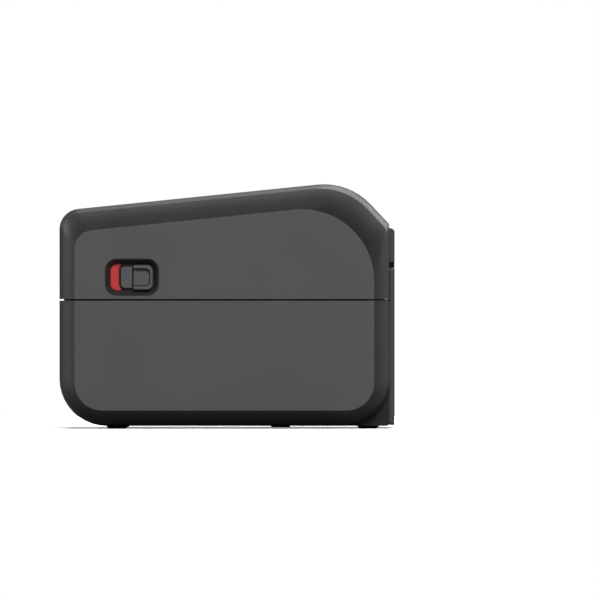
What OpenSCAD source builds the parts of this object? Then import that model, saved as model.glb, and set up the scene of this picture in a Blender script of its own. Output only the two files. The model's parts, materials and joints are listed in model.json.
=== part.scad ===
// Desktop direct thermal label printer.
// The label exit faces -X, the hinge is at +X and Z is up. The origin lies on the table
// under the middle of the housing. "Right" is the -Y side, as seen by someone facing the
// label exit, and every left piece is the mirror image of the right one.

/* [Housing] */
// Overall length, front face to rear plate
body_l = 220; // [214:1:228]
// Overall width over the flat side panels
body_w = 176; // [174:1:190]
// Height of the sharp front top corner above the table
front_top_z = 143.1; // [140:0.2:150]
// Rise of the top towards the rear, degrees
top_slope = 5.8; // [4.5:0.1:7]
// Height at which the rear bevel meets the rear face
bevel_z = 134; // [130:0.5:138]
// Angle of the rear bevel below the horizontal
bevel_angle = 47; // [44:1:50]
// Radius of the front and rear bottom corners
bottom_r = 31; // [26:1:34]
// Radius of the front top corner
front_top_r = 13.5; // [10:0.5:16]
// Radius that blends the top into the rear bevel
rear_top_r = 42; // [34:1:46]
// Radius between the rear bevel and the rear face
bevel_r = 3; // [2:0.5:5]
// Wall of both shells
wall = 2.6; // [2.2:0.1:3]
// Height of the parting line between base and lid
parting_z = 84.6; // [83:0.2:86]
// Open gap along the parting line
parting_gap = 1.1; // [0.8:0.1:1.4]
// Thickness of the rear plate
plate_t = 3.3; // [2.8:0.1:4]
// Height of the rear plate's top edge on the lid
strip_top_z = 131.7; // [124:0.1:133]

/* [Side panels] */
// Margin between the outline and the flat side panel, front, rear and bottom
panel_margin = 10.3; // [9:0.1:12]
// Margin between the top outline and the flat side panel
panel_top_margin = 15.3; // [13:0.1:17]
// How far the rounded shoulder reaches across the width
shoulder_d = 14; // [11:0.5:17]
// Angle of the crease where the shoulder leaves the side panel
crease_angle = 28; // [20:1:36]
// Radius of the panel's bottom corners
panel_bottom_r = 18; // [14:1:21]
// Radius of the panel's front top corner
panel_front_r = 12; // [9:0.5:14]
// Radius of the panel's rear top sweep
panel_rear_r = 46.5; // [40:0.5:50]

/* [Feet] */
// Height of the housing above the table
foot_h = 1.8; // [1.4:0.1:2.6]
// Diameter of a rubber foot where it meets the housing
foot_d = 14.4; // [11:0.1:17]
// Diameter of a rubber foot on the table
foot_tip_d = 12; // [9:0.1:14]
// Depth of the recess that holds a foot
foot_seat = 0.8; // [0.5:0.1:1.1]
// Distance from the housing's front face to the front feet
foot_front = 37.8; // [36:0.2:44]
// Distance from the rear plate's outer face to the rear feet
foot_rear = 17.3; // [14:0.1:24]
// Distance of the feet from the middle plane
foot_y = 58; // [48:1:62]

/* [Hinge and lid] */
// Outer radius of the hinge barrel
hinge_r = 3; // [2.6:0.1:3.4]
// Diameter of the steel hinge pins
hinge_pin_d = 2.8; // [2.2:0.1:3]
// Height of the hinge axis
hinge_z = 109.3; // [106:0.1:111]
// Half width of the rear plate
plate_half_w = 73.5; // [71:0.5:74]
// Middle of a base knuckle, measured from the middle plane
knuckle_y = 54; // [48:1:58]
// Width of a base knuckle
knuckle_w = 8; // [6:0.5:12]

/* [Platen and drive] */
// Diameter of the platen roller's rubber
platen_d = 15; // [13:0.5:16]
// Length of the platen roller's rubber
platen_l = 114; // [108:1:116]
// Diameter of the platen shaft
shaft_d = 6; // [5:0.5:7]
// Distance from the housing's front face to the platen axis
platen_setback = 13.5; // [13:0.1:15]
// Module of the drive gears
drive_module = 0.8; // [0.75:0.01:0.82]
// Teeth of the platen gear
platen_teeth = 20; // [18:1:20]
// Teeth of the idler's small gear
idler_small_teeth = 14; // [13:1:16]
// Teeth of the idler's large gear
idler_large_teeth = 40; // [36:1:40]
// Teeth of the motor pinion
pinion_teeth = 12; // [11:1:14]
// Width of each drive gear
gear_w = 5; // [4:0.5:5]
// Diameter of the stepper motor's can
motor_d = 35; // [30:1:36]
// Length of the stepper motor's can
motor_l = 20; // [16:1:26]

/* [Roll bay] */
// Diameter of the largest label roll
roll_d = 127; // [120:1:128]
// Clear width between the fully opened roll guides
media_w = 119; // [112:1:120]
// Clear width between the fully closed roll guides
media_min_w = 26; // [24:1:40]
// Wall of the roll trough
trough_t = 2.5; // [2:0.1:3]
// Module of the guide rack
rack_module = 1; // [0.9:0.05:1.1]
// Teeth of the pinion that couples the two guides
rack_pinion_teeth = 14; // [12:2:16]

/* [Side latch] */
// Length of the latch recess
bezel_l = 35.4; // [34:0.2:38]
// Height of the latch recess
bezel_h = 24.3; // [22:0.1:24.4]
// Corner radius of the latch recess
bezel_r = 7.5; // [6:0.5:9]
// Depth of the latch recess
bezel_depth = 4.2; // [3.8:0.1:4.4]
// Distance from the housing's front face to the latch recess
bezel_setback = 30.1; // [28:0.1:34]
// Height of the latch recess's middle
latch_z = 99.45; // [99.4:0.05:101]
// Travel of the latch slider towards the front
latch_travel = 6.3; // [5.5:0.1:6.4]
// Distance of the hook's pivot above the latch recess's middle
hook_arm = 18.55; // [18:0.05:20]
// Thickness of the latch hook
hook_t = 3; // [2.4:0.1:3.2]

/* [Print head] */
// Length of the print head
head_l = 112; // [106:1:113]
// Thickness of the print head's ceramic board
board_t = 1; // [0.8:0.1:1.4]
// Gap between the head and the platen that the label fills
label_gap = 0.3; // [0.25:0.05:0.4]
// Distance from the platen axis back to the print head's pivot
head_pivot_back = 20.5; // [19:0.5:22]

/* [Operator panel and ports] */
// Diameter of the feed button
button_d = 12; // [10:0.5:14]
// Travel of the feed button
button_travel = 0.8; // [0.5:0.1:1]
// Distance of the feed button from the middle plane
button_y = 36; // [28:1:44]
// Height of the feed button
button_z = 57; // [54:0.5:58]
// Swing of the power rocker between off and on, degrees
rocker_swing = 16; // [12:1:18]

/* [Hidden] */
$fn = 48;
far = 400;
run = 0.05;      // radial clearance of a shaft in its bore
clear = 0.3;     // clearance between bodies that pass each other
seat = 0.05;     // clearance round a piece that sits in a recess

front_x = -body_l / 2;
back_x = body_l / 2;
rear_x = back_x - plate_t;
half_w = body_w / 2;
in_y = half_w - wall;
in_x = front_x + wall;
floor_z = foot_h + wall;
base_top = parting_z - parting_gap / 2;
lid_bottom = parting_z + parting_gap / 2;

// Hinge
hinge_x = back_x - hinge_r;
lid_rear = rear_x - clear;
plate_top = hinge_z - hinge_r - 2 * clear;
lid_sweep = hinge_z - lid_bottom + 1;
knuckle_in = knuckle_y - knuckle_w / 2;
knuckle_out = knuckle_y + knuckle_w / 2;
barrel_end = knuckle_out + 10;

// Platen
label_z = lid_bottom - 0.15;
platen_x = front_x + platen_setback;
platen_z = label_z - platen_d / 2;
frame_in = platen_l / 2 + 5;
frame_t = 3;
frame_out = frame_in + frame_t;
frame_top = platen_z + 3;
bush_d = shaft_d + 4;
bush_end = frame_out + 0.5;

// Drive: platen gear, double idler, motor pinion
pressure = 20;
backlash = 0.12;
gear_y = frame_out + 1.3;
idler_y = gear_y + gear_w + 1;
platen_gear_r = drive_module * platen_teeth / 2;
idler_small_r = drive_module * idler_small_teeth / 2;
idler_large_r = drive_module * idler_large_teeth / 2;
pinion_r = drive_module * pinion_teeth / 2;
idler_dir = -55;
motor_dir = -50;
idler_x = platen_x + (platen_gear_r + idler_small_r) * cos(idler_dir);
idler_z = platen_z + (platen_gear_r + idler_small_r) * sin(idler_dir);
motor_x = idler_x + (idler_large_r + pinion_r) * cos(motor_dir);
motor_z = idler_z + (idler_large_r + pinion_r) * sin(motor_dir);
stud_d = 4;
motor_shaft_d = 4;

// Roll bay
trough_r = roll_d / 2 + 3;
roll_z = floor_z + 10.6 + trough_t + trough_r;
roll_x = rear_x - lid_sweep - trough_r - trough_t + 0.5;
bay_in = media_w / 2 + 4.5;
bay_t = 2;
bay_out = bay_in + bay_t;
trough_top = 60;
bay_top = base_top - 2;
guide_t = 3;
guide_open = media_w / 2;
guide_travel = (media_w - media_min_w) / 2;
rack_pinion_r = rack_module * rack_pinion_teeth / 2;
rack_z = floor_z + 4.6;
rack_h = 3.6;
rack_t = 5;
guide_slot = rack_t + 2 * clear;
hub_d = 25;
hub_tip_d = 12.4;
hub_pin_d = 5;

// Latch
bezel_x0 = front_x + bezel_setback;
bezel_x1 = bezel_x0 + bezel_l;
bezel_z0 = latch_z - bezel_h / 2;
bezel_z1 = latch_z + bezel_h / 2;
funnel = 3.4;
bezel_floor = half_w - bezel_depth;
bezel_back = bezel_floor - 1.4;
slider_l = 20.6;
slider_x1 = bezel_x1 - funnel - 0.9;
slider_x0 = slider_x1 - slider_l;
stem_x = slider_x1 - 9.3;
stem_d = 4;
hook_out = bezel_back - 0.6;
hook_in = hook_out - hook_t;
hook_z = latch_z + hook_arm;
hook_tail = 16.5;
hook_swing = atan(latch_travel / hook_arm);
nose_l = 8;
nose_top = base_top - 5.35;
nose_h = 4.7;
hook_pin_d = 4;

// Print head
head_z = label_z + label_gap;
head_front = platen_x - 4.5;
head_back = platen_x + 22.5;
pivot_x = platen_x + head_pivot_back;
pivot_z = head_z + board_t + 5.7;
head_h = 8.2;
frame_plate_z = pivot_z + 12;
frame_plate_t = 2.5;
lid_rib_y = head_l / 2 + 10;
head_pin_d = 3;

// Electronics
board_z = floor_z + 3.6;
pcb_t = 1.6;
port_z = board_z + pcb_t;
port_face = back_x - 0.5;

// ---------------------------------------------------------------- helpers

// Box between two corners
module block(a, b) {
    translate(a) cube(b - a);
}

// A flat shape drawn in X and Z, thickened from y0 to y1
module slab(y0, y1) {
    translate([0, y1, 0]) rotate([90, 0, 0]) linear_extrude(y1 - y0) children();
}

// Rod along Y
module rod_y(x, z, y0, y1, d) {
    translate([x, y1, z]) rotate([90, 0, 0]) cylinder(d = d, h = y1 - y0);
}

// Rod along X
module rod_x(y, z, x0, x1, d) {
    translate([x0, y, z]) rotate([0, 90, 0]) cylinder(d = d, h = x1 - x0);
}

// The right piece as drawn, or its mirror image on the left
module left() {
    mirror([0, 1, 0]) children();
}

// Both sides at once
module both() {
    children();
    mirror([0, 1, 0]) children();
}

function unit(v) = v / norm(v);

// Round the corner q between p and s, corners running anticlockwise
function fillet(p, q, s, r, n) =
    let (u = unit(p - q), v = unit(s - q))
    let (half = acos(u * v) / 2, reach = r / tan(half))
    let (centre = q + unit(u + v) * r / sin(half))
    let (start = q + u * reach - centre, turn = 180 - 2 * half)
    let (a0 = atan2(start[1], start[0]))
    [for (i = [0:n]) centre + r * [cos(a0 + turn * i / n), sin(a0 + turn * i / n)]];

// Outline with rounded corners; a corner is [x, z, radius, steps]
function rounded(corners) =
    let (n = len(corners))
    [for (i = [0:n - 1])
        let (c = corners[i], p = corners[(i + n - 1) % n], s = corners[(i + 1) % n])
        each c[2] < 0.01 ? [[c[0], c[1]]]
            : fillet([p[0], p[1]], [c[0], c[1]], [s[0], s[1]], c[2], c[3])];

// Rectangle with rounded corners
function rounded_rect(x0, x1, z0, z1, r) =
    rounded([[x0, z0, r, 6], [x1, z0, r, 6], [x1, z1, r, 6], [x0, z1, r, 6]]);

// ---------------------------------------------------------------- housing form

// Where the line z = a + tan(slope) x meets the line cos(b) z + sin(b) x = d
function meet_bevel(a, d) =
    let (x = (d - cos(bevel_angle) * a)
        / (sin(bevel_angle) + cos(bevel_angle) * tan(top_slope)))
    [x, a + tan(top_slope) * x];

// Full outline of the housing, moved inwards by inset
function outer_outline(inset) =
    let (x0 = front_x + inset, x1 = rear_x - inset, z0 = foot_h + inset)
    let (top = front_top_z - tan(top_slope) * front_x - inset / cos(top_slope))
    let (bevel = sin(bevel_angle) * rear_x + cos(bevel_angle) * bevel_z - inset)
    let (peak = meet_bevel(top, bevel))
    let (shoulder = (bevel - sin(bevel_angle) * x1) / cos(bevel_angle))
    rounded([
        [x0, z0, bottom_r - inset, 10],
        [x1, z0, bottom_r - inset, 10],
        [x1, shoulder, max(bevel_r - inset, 2), 5],
        [peak[0], peak[1], rear_top_r - inset, 8],
        [x0, top + tan(top_slope) * x0, front_top_r - inset, 8]
    ]);

// Outline of the flat side panel, moved inwards by inset
function panel_outline(inset) =
    let (m = panel_margin + inset, r = panel_rear_r - inset)
    let (x0 = front_x + m, x1 = rear_x - m, z0 = foot_h + m)
    let (drop = (panel_top_margin + inset) / cos(top_slope))
    let (top = front_top_z - tan(top_slope) * front_x - drop)
    let (cx = x1 - r, cz = top + tan(top_slope) * cx - r / cos(top_slope))
    let (bevel = sin(bevel_angle) * cx + cos(bevel_angle) * cz + r - 0.3)
    let (peak = meet_bevel(top, bevel))
    let (shoulder = (bevel - sin(bevel_angle) * x1) / cos(bevel_angle))
    rounded([
        [x0, z0, panel_bottom_r - inset, 10],
        [x1, z0, panel_bottom_r - inset, 10],
        [x1, shoulder, r, 5],
        [peak[0], peak[1], r, 8],
        [x0, top + tan(top_slope) * x0, panel_front_r - inset, 8]
    ]);

// One ring of the shoulder, k from 0 at the side panel to 1 at the full outline
function shoulder_ring(inner, outer, k, inset, side) =
    let (a = crease_angle + (90 - crease_angle) * k)
    let (out = (sin(a) - sin(crease_angle)) / (1 - sin(crease_angle)))
    let (y = half_w - inset - shoulder_d * (1 - cos(a) / cos(crease_angle)))
    [for (i = [0:len(inner) - 1])
        let (p = inner[i] + (outer[i] - inner[i]) * out)
        [p[0], side * y, p[1]]];

// The housing as one closed solid, its whole surface moved inwards by inset
module housing(inset, steps) {
    inner = panel_outline(inset);
    outer = outer_outline(inset);
    count = len(inner);
    rings = concat(
        [for (j = [0:steps]) shoulder_ring(inner, outer, j / steps, inset, -1)],
        [for (j = [steps:-1:0]) shoulder_ring(inner, outer, j / steps, inset, 1)]
    );
    last = len(rings) - 1;
    skin = [for (j = [0:last - 1]) for (i = [0:count - 1])
        let (a = j * count + i, b = j * count + (i + 1) % count)
        each [[a, b + count, a + count], [a, b, b + count]]];
    caps = [
        [for (i = [count - 1:-1:0]) i],
        [for (i = [0:count - 1]) last * count + i]
    ];
    polyhedron(points = [for (r = rings) each r], faces = concat(skin, caps));
}

// Height of the top surface at x, depth below the skin
function roof(x, depth) =
    front_top_z + tan(top_slope) * (x - front_x) - depth / cos(top_slope);

// ---------------------------------------------------------------- base

lip_t = 1.5;
lip_in = in_y - clear - lip_t;
lip_x0 = in_x + 12;
lip_x1 = rear_x - lid_sweep - 4;
lip_top = lid_bottom + 1.5;
mouth_half = platen_l / 2 + 3;
mouth_low = base_top - 1.5;
mouth_high = base_top + 4.4;
rib_l = 12.5;
rib_x = back_x - 74.9;
ring_d = button_d + 5;
ring_bore = button_d + 2 * clear;
panel_post_d = 5;
panel_post_y = 13;
button_board_x = in_x + 6.4;
rack_back = roll_x - rack_pinion_r - rack_module - rack_t;
rack_front = rack_back + rack_t;
chassis_back = roll_x - trough_r - trough_t - 0.6;
screw_d = 3;
chassis_screws = [[front_x + bottom_r + 6, 32], [chassis_back - 5, 32]];
board_x0 = roll_x + 45;
board_x1 = rear_x - wall - 1;
board_half_w = 60;
board_screws = [[board_x0 + 5, board_half_w - 5], [board_x1 - 5, board_half_w - 5]];

// Ports: middle in Y, width and height
dc_y = -47;
dc_w = 9;
dc_h = 11;
usb_y = -24;
usb_w = 12;
usb_h = 11;
net_y = 2;
net_w = 16;
net_h = 13.5;
switch_y = 44;
switch_z = 42;
switch_w = 19;
switch_h = 13;
switch_rim = 1.5;
switch_sink = 1.8;

// Square lower rear corner between the rounded sides
function rear_corner(inset) =
    rounded([
        [rear_x - bottom_r - 4 - inset, foot_h + inset, 0, 0],
        [rear_x - inset, foot_h + inset, 2, 4],
        [rear_x - inset, foot_h + bottom_r + 4 - inset, 0, 0],
        [rear_x - bottom_r - 4 - inset, foot_h + bottom_r + 4 - inset, 0, 0]
    ]);

// Window through the rear wall for a port
module port_hole(y, z, w, h, gap) {
    block([rear_x - wall - 1, y - w / 2 - gap, z - gap],
        [back_x + 1, y + w / 2 + gap, z + h + gap]);
}

module port_holes() {
    port_hole(dc_y, port_z, dc_w, dc_h, clear);
    port_hole(usb_y, port_z, usb_w, usb_h, clear);
    port_hole(net_y, port_z, net_w, net_h, clear);
    port_hole(switch_y, switch_z - switch_h / 2, switch_w, switch_h, seat);
}

module foot_places() {
    for (x = [front_x + foot_front, back_x - foot_rear])
        for (s = [-1, 1]) translate([x, s * foot_y, 0]) children();
}

module base_walls() {
    difference() {
        union() {
            intersection() {
                housing(0, 5);
                block([-far, -far, -far], [far, far, base_top]);
            }
            slab(-plate_half_w, plate_half_w) polygon(rear_corner(0));
        }
        housing(wall, 3);
        slab(wall - plate_half_w, plate_half_w - wall) polygon(rear_corner(wall));
    }
}

// Front corner of the housing seen from above, moved inwards by inset, on the right
function corner_curve(inset) = [for (i = [0:6])
    let (a = crease_angle + (90 - crease_angle) * i / 6)
    let (out = (sin(a) - sin(crease_angle)) / (1 - sin(crease_angle)))
    [front_x + inset + panel_margin * (1 - out),
        -half_w + inset + shoulder_d * (1 - cos(a) / cos(crease_angle))]];

// Band between two insets, from the mouth round the corner to the side
module corner_band(out, inner) {
    a = corner_curve(out);
    b = corner_curve(inner);
    n = len(a) - 1;
    polygon(concat(
        [[lip_x0 + 0.5, a[0][1]]], a, [[a[n][0], -mouth_half - 2]],
        [[b[n][0], -mouth_half - 2]], [for (i = [n:-1:0]) b[i]], [[lip_x0 + 0.5, b[0][1]]]
    ));
}

// Lip that bridges the parting gap on the inside
module base_lip() {
    block([lip_x0, -in_y - 0.5, base_top - 8], [lip_x1, -lip_in, base_top - 0.4]);
    block([lip_x0, clear - in_y, base_top - 1], [lip_x1, -lip_in, lip_top]);
    translate([0, 0, base_top - 3]) linear_extrude(2.6)
        corner_band(wall - 0.5, wall + clear + lip_t);
    translate([0, 0, base_top - 1]) linear_extrude(lip_top - base_top + 1)
        corner_band(wall + clear, wall + clear + lip_t);
}

// Low ribs that the two racks slide on
module rack_bed() {
    for (x = [rack_back, 2 * roll_x - rack_front])
        block([x, -guide_open, floor_z - 0.5], [x + rack_t, guide_open, rack_z - clear]);
}

module base_posts() {
    for (s = [-1, 1]) rod_x(s * panel_post_y - button_y, button_z, in_x - 0.5,
        button_board_x, panel_post_d);
    for (p = board_screws) for (s = [-1, 1])
        translate([p[0], s * p[1], floor_z - 0.5])
            cylinder(d = 6, h = board_z - floor_z + 0.5);
}

module base_shell() color("#2a2a2c") difference() {
    union() {
        base_walls();
        both() base_lip();
        rack_bed();
        base_posts();
        block([rib_x - rib_l / 2, -20, foot_h - 1.4], [rib_x + rib_l / 2, 20, foot_h + 0.5]);
    }
    foot_places() translate([0, 0, foot_h - 1])
        cylinder(d = foot_d + 2 * seat, h = 1 + foot_seat);
    block([front_x - 1, -mouth_half, mouth_low], [in_x + 0.5, mouth_half, base_top + 1]);
    rod_x(-button_y, button_z, front_x - 1, in_x + 0.5, ring_d + 2 * seat);
    port_holes();
    for (p = chassis_screws) for (s = [-1, 1])
        translate([p[0], s * p[1], foot_h + 0.8]) cylinder(d = screw_d, h = wall);
    for (p = board_screws) for (s = [-1, 1])
        translate([p[0], s * p[1], floor_z]) cylinder(d = screw_d, h = far);
}

// Rear plate with its port windows, the switch recess and two hinge knuckles
module rear_panel() color("#232325") difference() {
    union() {
        translate([rear_x, 0, 0]) rotate([90, 0, 90]) linear_extrude(plate_t)
            polygon(rounded_rect(-plate_half_w, plate_half_w, foot_h + 0.6, plate_top, 2));
        both() rod_y(hinge_x, hinge_z, -knuckle_out, -knuckle_in, 2 * hinge_r);
        both() block([rear_x, -knuckle_out, plate_top - 1],
            [back_x, -knuckle_in, hinge_z]);
    }
    port_holes();
    port_hole(switch_y, switch_z - switch_h / 2, switch_w, switch_h, seat);
    block([back_x - switch_sink, switch_y - switch_w / 2 - switch_rim - seat,
            switch_z - switch_h / 2 - switch_rim - seat],
        [back_x + 1, switch_y + switch_w / 2 + switch_rim + seat,
            switch_z + switch_h / 2 + switch_rim + seat]);
    both() rod_y(hinge_x, hinge_z, -knuckle_out - 1, -knuckle_in + 1, hinge_pin_d);
}

module rubber_feet() color("#141414") foot_places() {
    cylinder(d1 = foot_tip_d, d2 = foot_d, h = foot_h);
    translate([0, 0, foot_h]) cylinder(d = foot_d, h = foot_seat);
}

module hinge_pins() color("#b9bcc0") both()
    rod_y(hinge_x, hinge_z, 2 - barrel_end, 8 - knuckle_in, hinge_pin_d);

module tear_bar() color("#c6c8cb") {
    tooth = 2;
    count = floor(2 * (mouth_half - 2) / tooth);
    edge = count * tooth / 2;
    translate([in_x, 0, 0]) rotate([90, 0, 90]) linear_extrude(1) polygon(concat(
        [[-edge, base_top - 13], [edge, base_top - 13], [edge, mouth_low]],
        [for (i = [0:2 * count]) [edge - i * tooth / 2,
            i % 2 == 0 ? mouth_low : base_top]]
    ));
}

module latch_strikes() color("#9a9da1") both()
    block([stem_x + nose_l + clear, -lip_in, nose_top + clear],
        [stem_x + nose_l + clear + 10, 0.4 - hook_in, base_top - 0.6]);

// ---------------------------------------------------------------- chassis and platen

corner_r = bottom_r - wall;
frame_front = in_x + 3.4;
frame_foot_x = front_x + bottom_r;
frame_knee = foot_h + bottom_r + 3
    - sqrt(corner_r * corner_r - (frame_foot_x - frame_front) * (frame_foot_x - frame_front));
deck_z = label_z - 3.5;
deck_t = 2;
sensor_x = platen_x + 23.5;
rail_z = platen_z - 3.5;
rail_d = 3;
sensor_w = 9.2;
sensor_l = 9;

// One side frame, drawn on the right
module side_frame() {
    difference() {
        slab(-frame_out, -frame_in) polygon([
            [frame_front, frame_knee], [frame_foot_x, floor_z], [chassis_back, floor_z],
            [chassis_back, frame_top], [frame_front, frame_top]
        ]);
        rod_y(platen_x, platen_z, -frame_out - 1, 1 - frame_in, bush_d);
        block([platen_x - bush_d / 2, -frame_out - 1, platen_z],
            [platen_x + bush_d / 2, 1 - frame_in, frame_top + 1]);
    }
}

module chassis() color("#3a3b3e") difference() {
    union() {
        both() side_frame();
        block([frame_foot_x, -frame_in - 0.5, floor_z],
            [chassis_back, frame_in + 0.5, floor_z + 2.6]);
        block([chassis_back - 4, -frame_in - 0.5, rail_z - 2],
            [chassis_back, frame_in + 0.5, deck_z - deck_t]);
    }
    rod_y(motor_x, motor_z, frame_in - 1, frame_out + 1, 8);
    rod_y(idler_x, idler_z, frame_in - 1, frame_out + 1, stud_d);
    for (p = chassis_screws) for (s = [-1, 1])
        translate([p[0], s * p[1], floor_z - 1]) cylinder(d = screw_d + 0.2, h = 6);
}

module label_deck() color("#47484b") difference() {
    slab(-frame_in, frame_in) {
        front = platen_x + platen_d / 2 + 1.2;
        polygon(rounded([
            [front, rail_z + 1, 0.5, 3], [front + 1.5, rail_z + 1, 0.5, 3],
            [front + 1.5, deck_z - deck_t, 0, 0], [chassis_back, deck_z - deck_t, 0, 0],
            [chassis_back, deck_z, 1.5, 4], [front, deck_z, 1.2, 4]
        ]));
    }
    block([sensor_x - sensor_w / 2 - clear, -52, rail_z - 10],
        [sensor_x + sensor_w / 2 + clear, 52, deck_z + 1]);
}

module sensor_rail() color("#b9bcc0") rod_y(sensor_x, rail_z, -frame_in, frame_in, rail_d);

module label_sensor() color("#1d1d1f") difference() {
    union() {
        block([sensor_x - sensor_w / 2, -sensor_l / 2, rail_z - 3.2],
            [sensor_x + sensor_w / 2, sensor_l / 2, deck_z - clear]);
        block([sensor_x - 1.2, -1.2, deck_z - 1], [sensor_x + 1.2, 1.2, deck_z]);
    }
    rod_y(sensor_x, rail_z, -sensor_l, sensor_l, rail_d + 2 * run);
}

module platen_bearings() color("#e4e2da") both() difference() {
    union() {
        rod_y(platen_x, platen_z, -bush_end, -frame_in, bush_d);
        rod_y(platen_x, platen_z, -frame_in, 1.5 - frame_in, bush_d + 3);
    }
    rod_y(platen_x, platen_z, -frame_out - 2, 2 - frame_in, shaft_d + 2 * run);
}

module platen_shaft() color("#b9bcc0")
    rod_y(platen_x, platen_z, -frame_out - 3, gear_y + gear_w, shaft_d);

module platen_rubber() color("#1a1a1b") difference() {
    rod_y(platen_x, platen_z, -platen_l / 2, platen_l / 2, platen_d);
    rod_y(platen_x, platen_z, -platen_l, platen_l, shaft_d + 0.02);
}

// ---------------------------------------------------------------- gears

// Involute angle in degrees at a pressure angle a
function inv(a) = tan(a) * 180 / PI - a;

// Outline of an involute gear; tooth 0 points along angle aim
function gear_outline(m, teeth, aim) =
    let (r = m * teeth / 2, rb = r * cos(pressure))
    let (ra = r + 0.75 * m, rf = r - m, rs = max(rb, rf + 0.05))
    let (half = 90 / teeth - backlash / r * 180 / PI + inv(pressure))
    let (radii = concat([rf], [for (i = [0:3]) rs + (ra - rs) * i / 3]))
    let (flank = [for (q = radii) [q, half - inv(acos(min(1, rb / q)))]])
    let (tooth = concat(
        [for (f = flank) [f[0], -f[1]]],
        [for (i = [len(flank) - 1:-1:0]) flank[i]]
    ))
    [for (k = [0:teeth - 1]) for (p = tooth)
        let (a = aim + 360 * k / teeth + p[1])
        p[0] * [cos(a), sin(a)]];

// Gear with its axis along Y
module gear_y_axis(m, teeth, aim, x, z, y0, w) {
    slab(y0, y0 + w) translate([x, z]) polygon(gear_outline(m, teeth, aim));
}

module platen_gear() color("#d9d6cc") difference() {
    union() {
        gear_y_axis(drive_module, platen_teeth, idler_dir, platen_x, platen_z, gear_y, gear_w);
        rod_y(platen_x, platen_z, bush_end + clear, gear_y + 1, shaft_d + 4);
    }
    rod_y(platen_x, platen_z, gear_y - 2, gear_y + gear_w + 1, shaft_d + 0.02);
}

module idler_gear() color("#d9d6cc") difference() {
    union() {
        gear_y_axis(drive_module, idler_small_teeth,
            idler_dir + 180 + 180 / idler_small_teeth, idler_x, idler_z, gear_y, gear_w + 0.5);
        gear_y_axis(drive_module, idler_large_teeth, motor_dir, idler_x, idler_z,
            idler_y, gear_w);
    }
    rod_y(idler_x, idler_z, gear_y - 1, idler_y + gear_w + 1, stud_d + 2 * run);
    for (a = [0:60:300]) rod_y(idler_x + 0.62 * idler_large_r * cos(a),
        idler_z + 0.62 * idler_large_r * sin(a), idler_y - 1, idler_y + gear_w + 1,
        0.36 * idler_large_r);
}

module idler_stud() color("#b9bcc0") {
    rod_y(idler_x, idler_z, frame_in - 1.2, idler_y + gear_w + clear, stud_d);
    rod_y(idler_x, idler_z, frame_in - 1.2, frame_in, stud_d + 4);
    rod_y(idler_x, idler_z, idler_y + gear_w + clear, idler_y + gear_w + clear + 0.8,
        stud_d + 3);
}

module motor_pinion() color("#c8a24a") difference() {
    gear_y_axis(drive_module, pinion_teeth, motor_dir + 180 + 180 / pinion_teeth,
        motor_x, motor_z, idler_y, gear_w);
    rod_y(motor_x, motor_z, idler_y - 1, idler_y + gear_w + 1, motor_shaft_d + 0.02);
}

module motor_shaft() color("#b9bcc0")
    rod_y(motor_x, motor_z, frame_in - motor_l + 3, idler_y + gear_w + 0.6, motor_shaft_d);

module stepper_motor() color("#8d9094") difference() {
    union() {
        rod_y(motor_x, motor_z, frame_in - motor_l - 1.2, frame_in - 1.2, motor_d);
        slab(frame_in - 1.2, frame_in) polygon(rounded_rect(motor_x - motor_d / 2 - 3,
            motor_x + motor_d / 2 + 1, motor_z - 8, motor_z + 8, 6));
        rod_y(motor_x, motor_z, frame_in, frame_in + 2, 7.9);
    }
    rod_y(motor_x, motor_z, frame_in - motor_l + 2, frame_in + 3, motor_shaft_d + 2 * run);
}

// ---------------------------------------------------------------- roll bay

module trough_section(r) {
    translate([roll_x, roll_z]) circle(r = r, $fn = 96);
}

module roll_tray() color("#3f4043") difference() {
    union() {
        slab(-bay_out, bay_out) trough_section(trough_r + trough_t);
        for (x = [-36, 36]) for (y = [-50, 50])
            translate([roll_x + x, y, floor_z]) cylinder(d = 8, h = roll_z - floor_z - 50);
    }
    slab(-bay_in, bay_in) trough_section(trough_r);
    block([-far, -bay_in, deck_z - 2], [far, bay_in, far]);
    block([-far, -far, bay_top], [far, far, far]);
    guide_slot_cut();
    turned() guide_slot_cut();
}

module guide_slot_cut() {
    block([rack_back - clear, -guide_open - guide_t - clear, floor_z + 6],
        [rack_front + clear, guide_travel + 2 * guide_t - guide_open + clear, 30]);
}

// Rack with its pitch line beside the pinion on the -X side
module rack() {
    pitch_x = roll_x - rack_pinion_r;
    step = PI * rack_module;
    half = step / 4 - backlash;
    top = half - 0.75 * rack_module * tan(pressure);
    root = half + rack_module * tan(pressure);
    first = -ceil((guide_travel + 4) / step);
    translate([0, 0, rack_z]) linear_extrude(rack_h) polygon(concat(
        [[rack_back, 6.5], [rack_back, -guide_open - guide_t],
            [rack_front, -guide_open - guide_t]],
        [for (k = [first:1]) each [
            [rack_front, k * step - root],
            [pitch_x + 0.75 * rack_module, k * step - top],
            [pitch_x + 0.75 * rack_module, k * step + top],
            [rack_front, k * step + root]
        ]],
        [[rack_front, 6.5]]
    ));
}

// One roll guide, fully open on the right
module roll_guide() {
    slab(-guide_open - guide_t, -guide_open) difference() {
        intersection() {
            translate([roll_x, roll_z]) circle(r = trough_r - 0.5, $fn = 96);
            union() {
                translate([roll_x, roll_z]) circle(r = 15);
                polygon([
                    [roll_x - 30, roll_z - trough_r], [roll_x + 30, roll_z - trough_r],
                    [roll_x + 13, roll_z], [roll_x - 13, roll_z]
                ]);
            }
        }
        for (s = [0, 1]) translate([roll_x, roll_z]) mirror([s, 0]) polygon(rounded([
            [3, -48, 1.5, 4], [17, -48, 1.5, 4], [11, -20, 1.5, 4], [3, -20, 1.5, 4]
        ]));
    }
    rod_y(roll_x, roll_z, -guide_open - 0.1, 9 - guide_open, hub_pin_d);
    block([rack_back, -guide_open - guide_t, rack_z], [rack_front, guide_t - guide_open,
        roll_z - trough_r + 4.5]);
    rack();
}

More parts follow.
